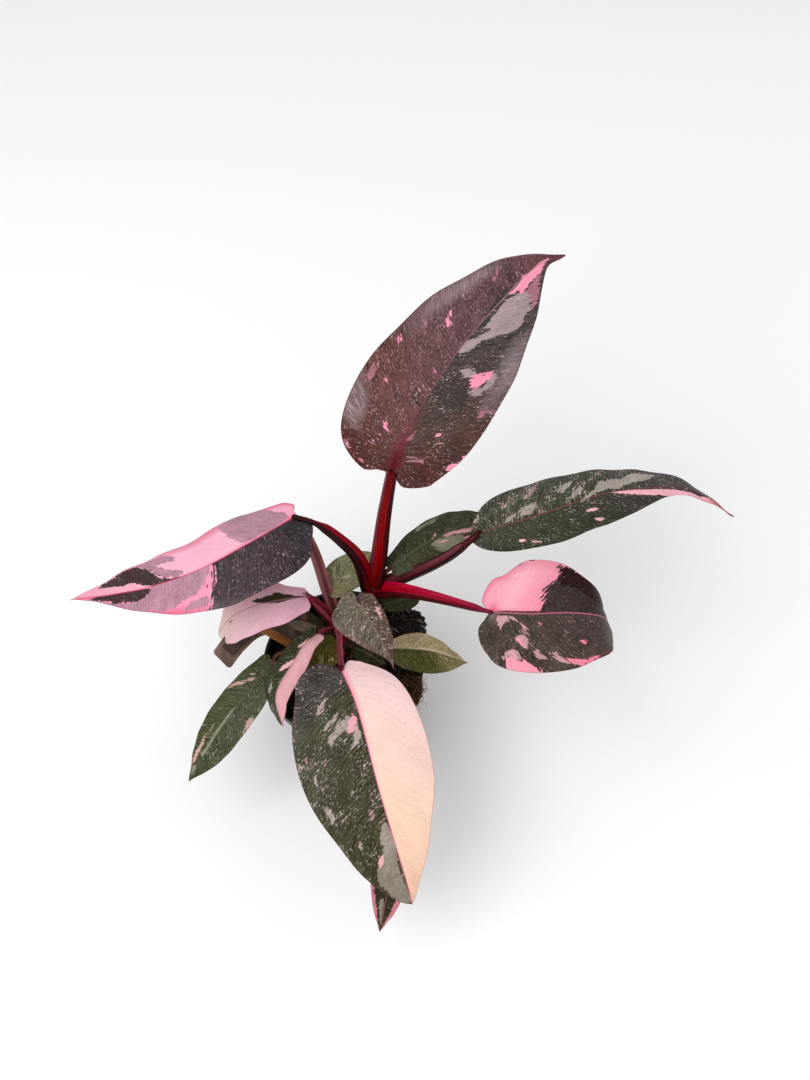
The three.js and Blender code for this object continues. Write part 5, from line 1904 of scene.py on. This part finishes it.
class SoilSettings(bpy.types.PropertyGroup):
    """Potting mix, chips and fibres."""

    top: setting("Top", "Height of the soil, mm", 72)
    mound: setting("Mound", "Rise towards the stem, mm", 2.2)
    clod: setting("Clod", "Size of the clods, mm", 7)
    relief: setting("Relief", "Height of the clods, mm", 1.5)
    chips: IntProperty(name="Chips", description="Number of bark chips", default=420)
    chip: setting("Chip", "Length of a chip, mm", 5)
    fibres: IntProperty(name="Fibres", description="Number of fibres on the clump", default=420)
    seed: IntProperty(name="Seed", description="Choice of the scatter", default=7)
    peat: tint("Peat", "Main colour of the potting mix", "#1e120b")


class StickSettings(bpy.types.PropertyGroup):
    """Bamboo stick."""

    radius: setting("Radius", "Radius, mm", 2.3)
    bamboo: tint("Bamboo", "Colour of the skin", "#b8783a")
    streak: tint("Streak", "Colour of its streaks", "#8c4c1c")


class LabelSettings(bpy.types.PropertyGroup):
    """Plant label."""

    width: setting("Width", "Width, mm", 14)
    wall: setting("Wall", "Thickness, mm", 0.6)
    point: setting("Point", "Length of the pointed foot, mm", 14)
    plastic: tint("Plastic", "Colour of the strip", "#8a7064")
    cloud: tint("Cloud", "Colour of its darker clouds", "#604a40")


class StageSettings(bpy.types.PropertyGroup):
    """Camera and light."""

    camera: FloatVectorProperty(
        name="Camera", description="Place of the camera", subtype="TRANSLATION", unit="LENGTH",
        default=(0.0346, -0.2443, 0.6404),
    )
    pitch: setting(
        "Pitch", "Camera's tilt from straight down", math.radians(30), unit="ROTATION"
    )
    lens: setting("Lens", "Focal length, mm", 36)
    sky: setting("Sky", "Strength of the even light", 0.67)
    key: setting("Key", "Power of the main light, W", 9.2)
    fill: setting("Fill", "Power of the side light, W", 1.5)


# ---------------------------------------------------------------- operators

FLOOR_WHITE = (0.93, 0.93, 0.93, 1)
FLOOR_SIZE = 12
LIT_MIDDLE = (0.03, 0.02, 0.12)


class PLANT_OT_leaves(bpy.types.Operator):
    """Builds every blade and its petiole"""

    bl_idname = "plant.leaves"
    bl_label = "Leaves"

    def execute(self, context):
        blades = context.scene.plant_leaves
        petioles = context.scene.plant_petioles
        lamina = lamina_finish(blades)
        petiole = petiole_finish()
        for leaf in LEAVES:
            make_lamina(leaf, blades, lamina)
            make_petiole(leaf, petioles, petiole)
        return {"FINISHED"}


class PLANT_OT_stem(bpy.types.Operator):
    """Builds the stem"""

    bl_idname = "plant.stem"
    bl_label = "Stem"

    def execute(self, context):
        make_stem(stem_finish())
        return {"FINISHED"}


class PLANT_OT_pot(bpy.types.Operator):
    """Builds the pot"""

    bl_idname = "plant.pot"
    bl_label = "Pot"

    def execute(self, context):
        pot = context.scene.plant_pot
        make_pot(pot, pot_finish(pot))
        return {"FINISHED"}


class PLANT_OT_soil(bpy.types.Operator):
    """Builds the soil, its chips, the heap at the rim and the root clump"""

    bl_idname = "plant.soil"
    bl_label = "Soil"

    def execute(self, context):
        pot, soil = context.scene.plant_pot, context.scene.plant_soil
        mix = soil_finish("potting mix", "#0a0503", soil.peat, "#3a2a20")
        make_soil(pot, soil, mix)
        make_lump("soil_heap", SOIL_LUMP, 4, 0.3, mix, "soil", "soil_lump")
        # The bark's pale grey paints glints on a few chips.
        make_chips(pot, soil, chip_finish("bark", "#0c0705", "#2e1d12", "#6a625c"))
        coir = soil_finish("coir", "#1c0f06", opaque("#4a2c12"), "#7a4e22")
        make_lump("coir_clump", ROOT_CLUMP, 3, 0.25, coir, "roots", "root_clump")
        make_fibres(soil, chip_finish("fibre", "#4a2c12", "#8a5a2a", "#b08a56"))
        return {"FINISHED"}


class PLANT_OT_stick(bpy.types.Operator):
    """Builds the bamboo stick"""

    bl_idname = "plant.stick"
    bl_label = "Stick"

    def execute(self, context):
        stick = context.scene.plant_stick
        make_stick(stick, bamboo_finish(stick))
        return {"FINISHED"}


class PLANT_OT_label(bpy.types.Operator):
    """Builds the bare label"""

    bl_idname = "plant.label"
    bl_label = "Label"

    def execute(self, context):
        label = context.scene.plant_label
        make_label(label, label_finish(label))
        return {"FINISHED"}


class PLANT_OT_stage(bpy.types.Operator):
    """Builds the floor, the light and the camera"""

    bl_idname = "plant.stage"
    bl_label = "Stage"

    def execute(self, context):
        stage = context.scene.plant_stage
        scene = context.scene
        floor = added("floor", bpy.ops.mesh.primitive_plane_add, size=FLOOR_SIZE)
        floor.data.materials.append(Finish("pale floor").paint(FLOOR_WHITE, 0.9))

        world = bpy.data.worlds.new("soft sky")
        world.use_nodes = True
        sky = world.node_tree.nodes["Background"]
        sky.inputs["Color"].default_value = (1, 1, 1, 1)
        sky.inputs["Strength"].default_value = stage.sky
        scene.world = world
        lights = (
            ("key light", (-0.5, -0.35, 1.1), 0.9, stage.key),
            ("side light", (0.8, 0.4, 0.8), 0.8, stage.fill),
        )
        for name, place, size, power in lights:
            bpy.ops.object.light_add(type="AREA", location=place)
            lamp = context.object
            lamp.name = name
            lamp.data.size = size
            lamp.data.energy = power
            aim = Vector(LIT_MIDDLE) - Vector(place)
            lamp.rotation_euler = aim.to_track_quat("-Z", "Y").to_euler()

        bpy.ops.object.camera_add(location=stage.camera, rotation=(stage.pitch, 0, 0))
        camera = context.object
        camera.data.lens = stage.lens
        camera.data.sensor_width = 36
        camera.data.clip_start = 0.01
        scene.camera = camera
        scene.view_settings.view_transform = "Standard"
        return {"FINISHED"}


class PLANT_PT_panel(bpy.types.Panel):
    """Lists the plant's pieces"""

    bl_idname = "PLANT_PT_panel"
    bl_label = "Potted Philodendron"
    bl_space_type = "VIEW_3D"
    bl_region_type = "UI"
    bl_category = "Plant"

    def draw(self, context):
        for operator in OPERATORS:
            self.layout.operator(operator.bl_idname)


SETTINGS = {
    "plant_leaves": LeafSettings,
    "plant_petioles": PetioleSettings,
    "plant_pot": PotSettings,
    "plant_soil": SoilSettings,
    "plant_stick": StickSettings,
    "plant_label": LabelSettings,
    "plant_stage": StageSettings,
}
OPERATORS = (
    PLANT_OT_leaves, PLANT_OT_stem, PLANT_OT_pot, PLANT_OT_soil, PLANT_OT_stick, PLANT_OT_label,
    PLANT_OT_stage,
)


def register():
    """Makes the settings, the operators and the panel known."""
    for group in (*SETTINGS.values(), *OPERATORS, PLANT_PT_panel):
        bpy.utils.register_class(group)
    for name, group in SETTINGS.items():
        setattr(bpy.types.Scene, name, PointerProperty(type=group))


def unregister():
    """Takes them away again."""
    for name in SETTINGS:
        delattr(bpy.types.Scene, name)
    for group in reversed((*SETTINGS.values(), *OPERATORS, PLANT_PT_panel)):
        bpy.utils.unregister_class(group)


def main():
    """Builds every piece and the stage."""
    register()
    bpy.ops.plant.leaves()
    bpy.ops.plant.stem()
    bpy.ops.plant.pot()
    bpy.ops.plant.soil()
    bpy.ops.plant.stick()
    bpy.ops.plant.label()
    bpy.ops.plant.stage()


if __name__ == "__main__":
    main()
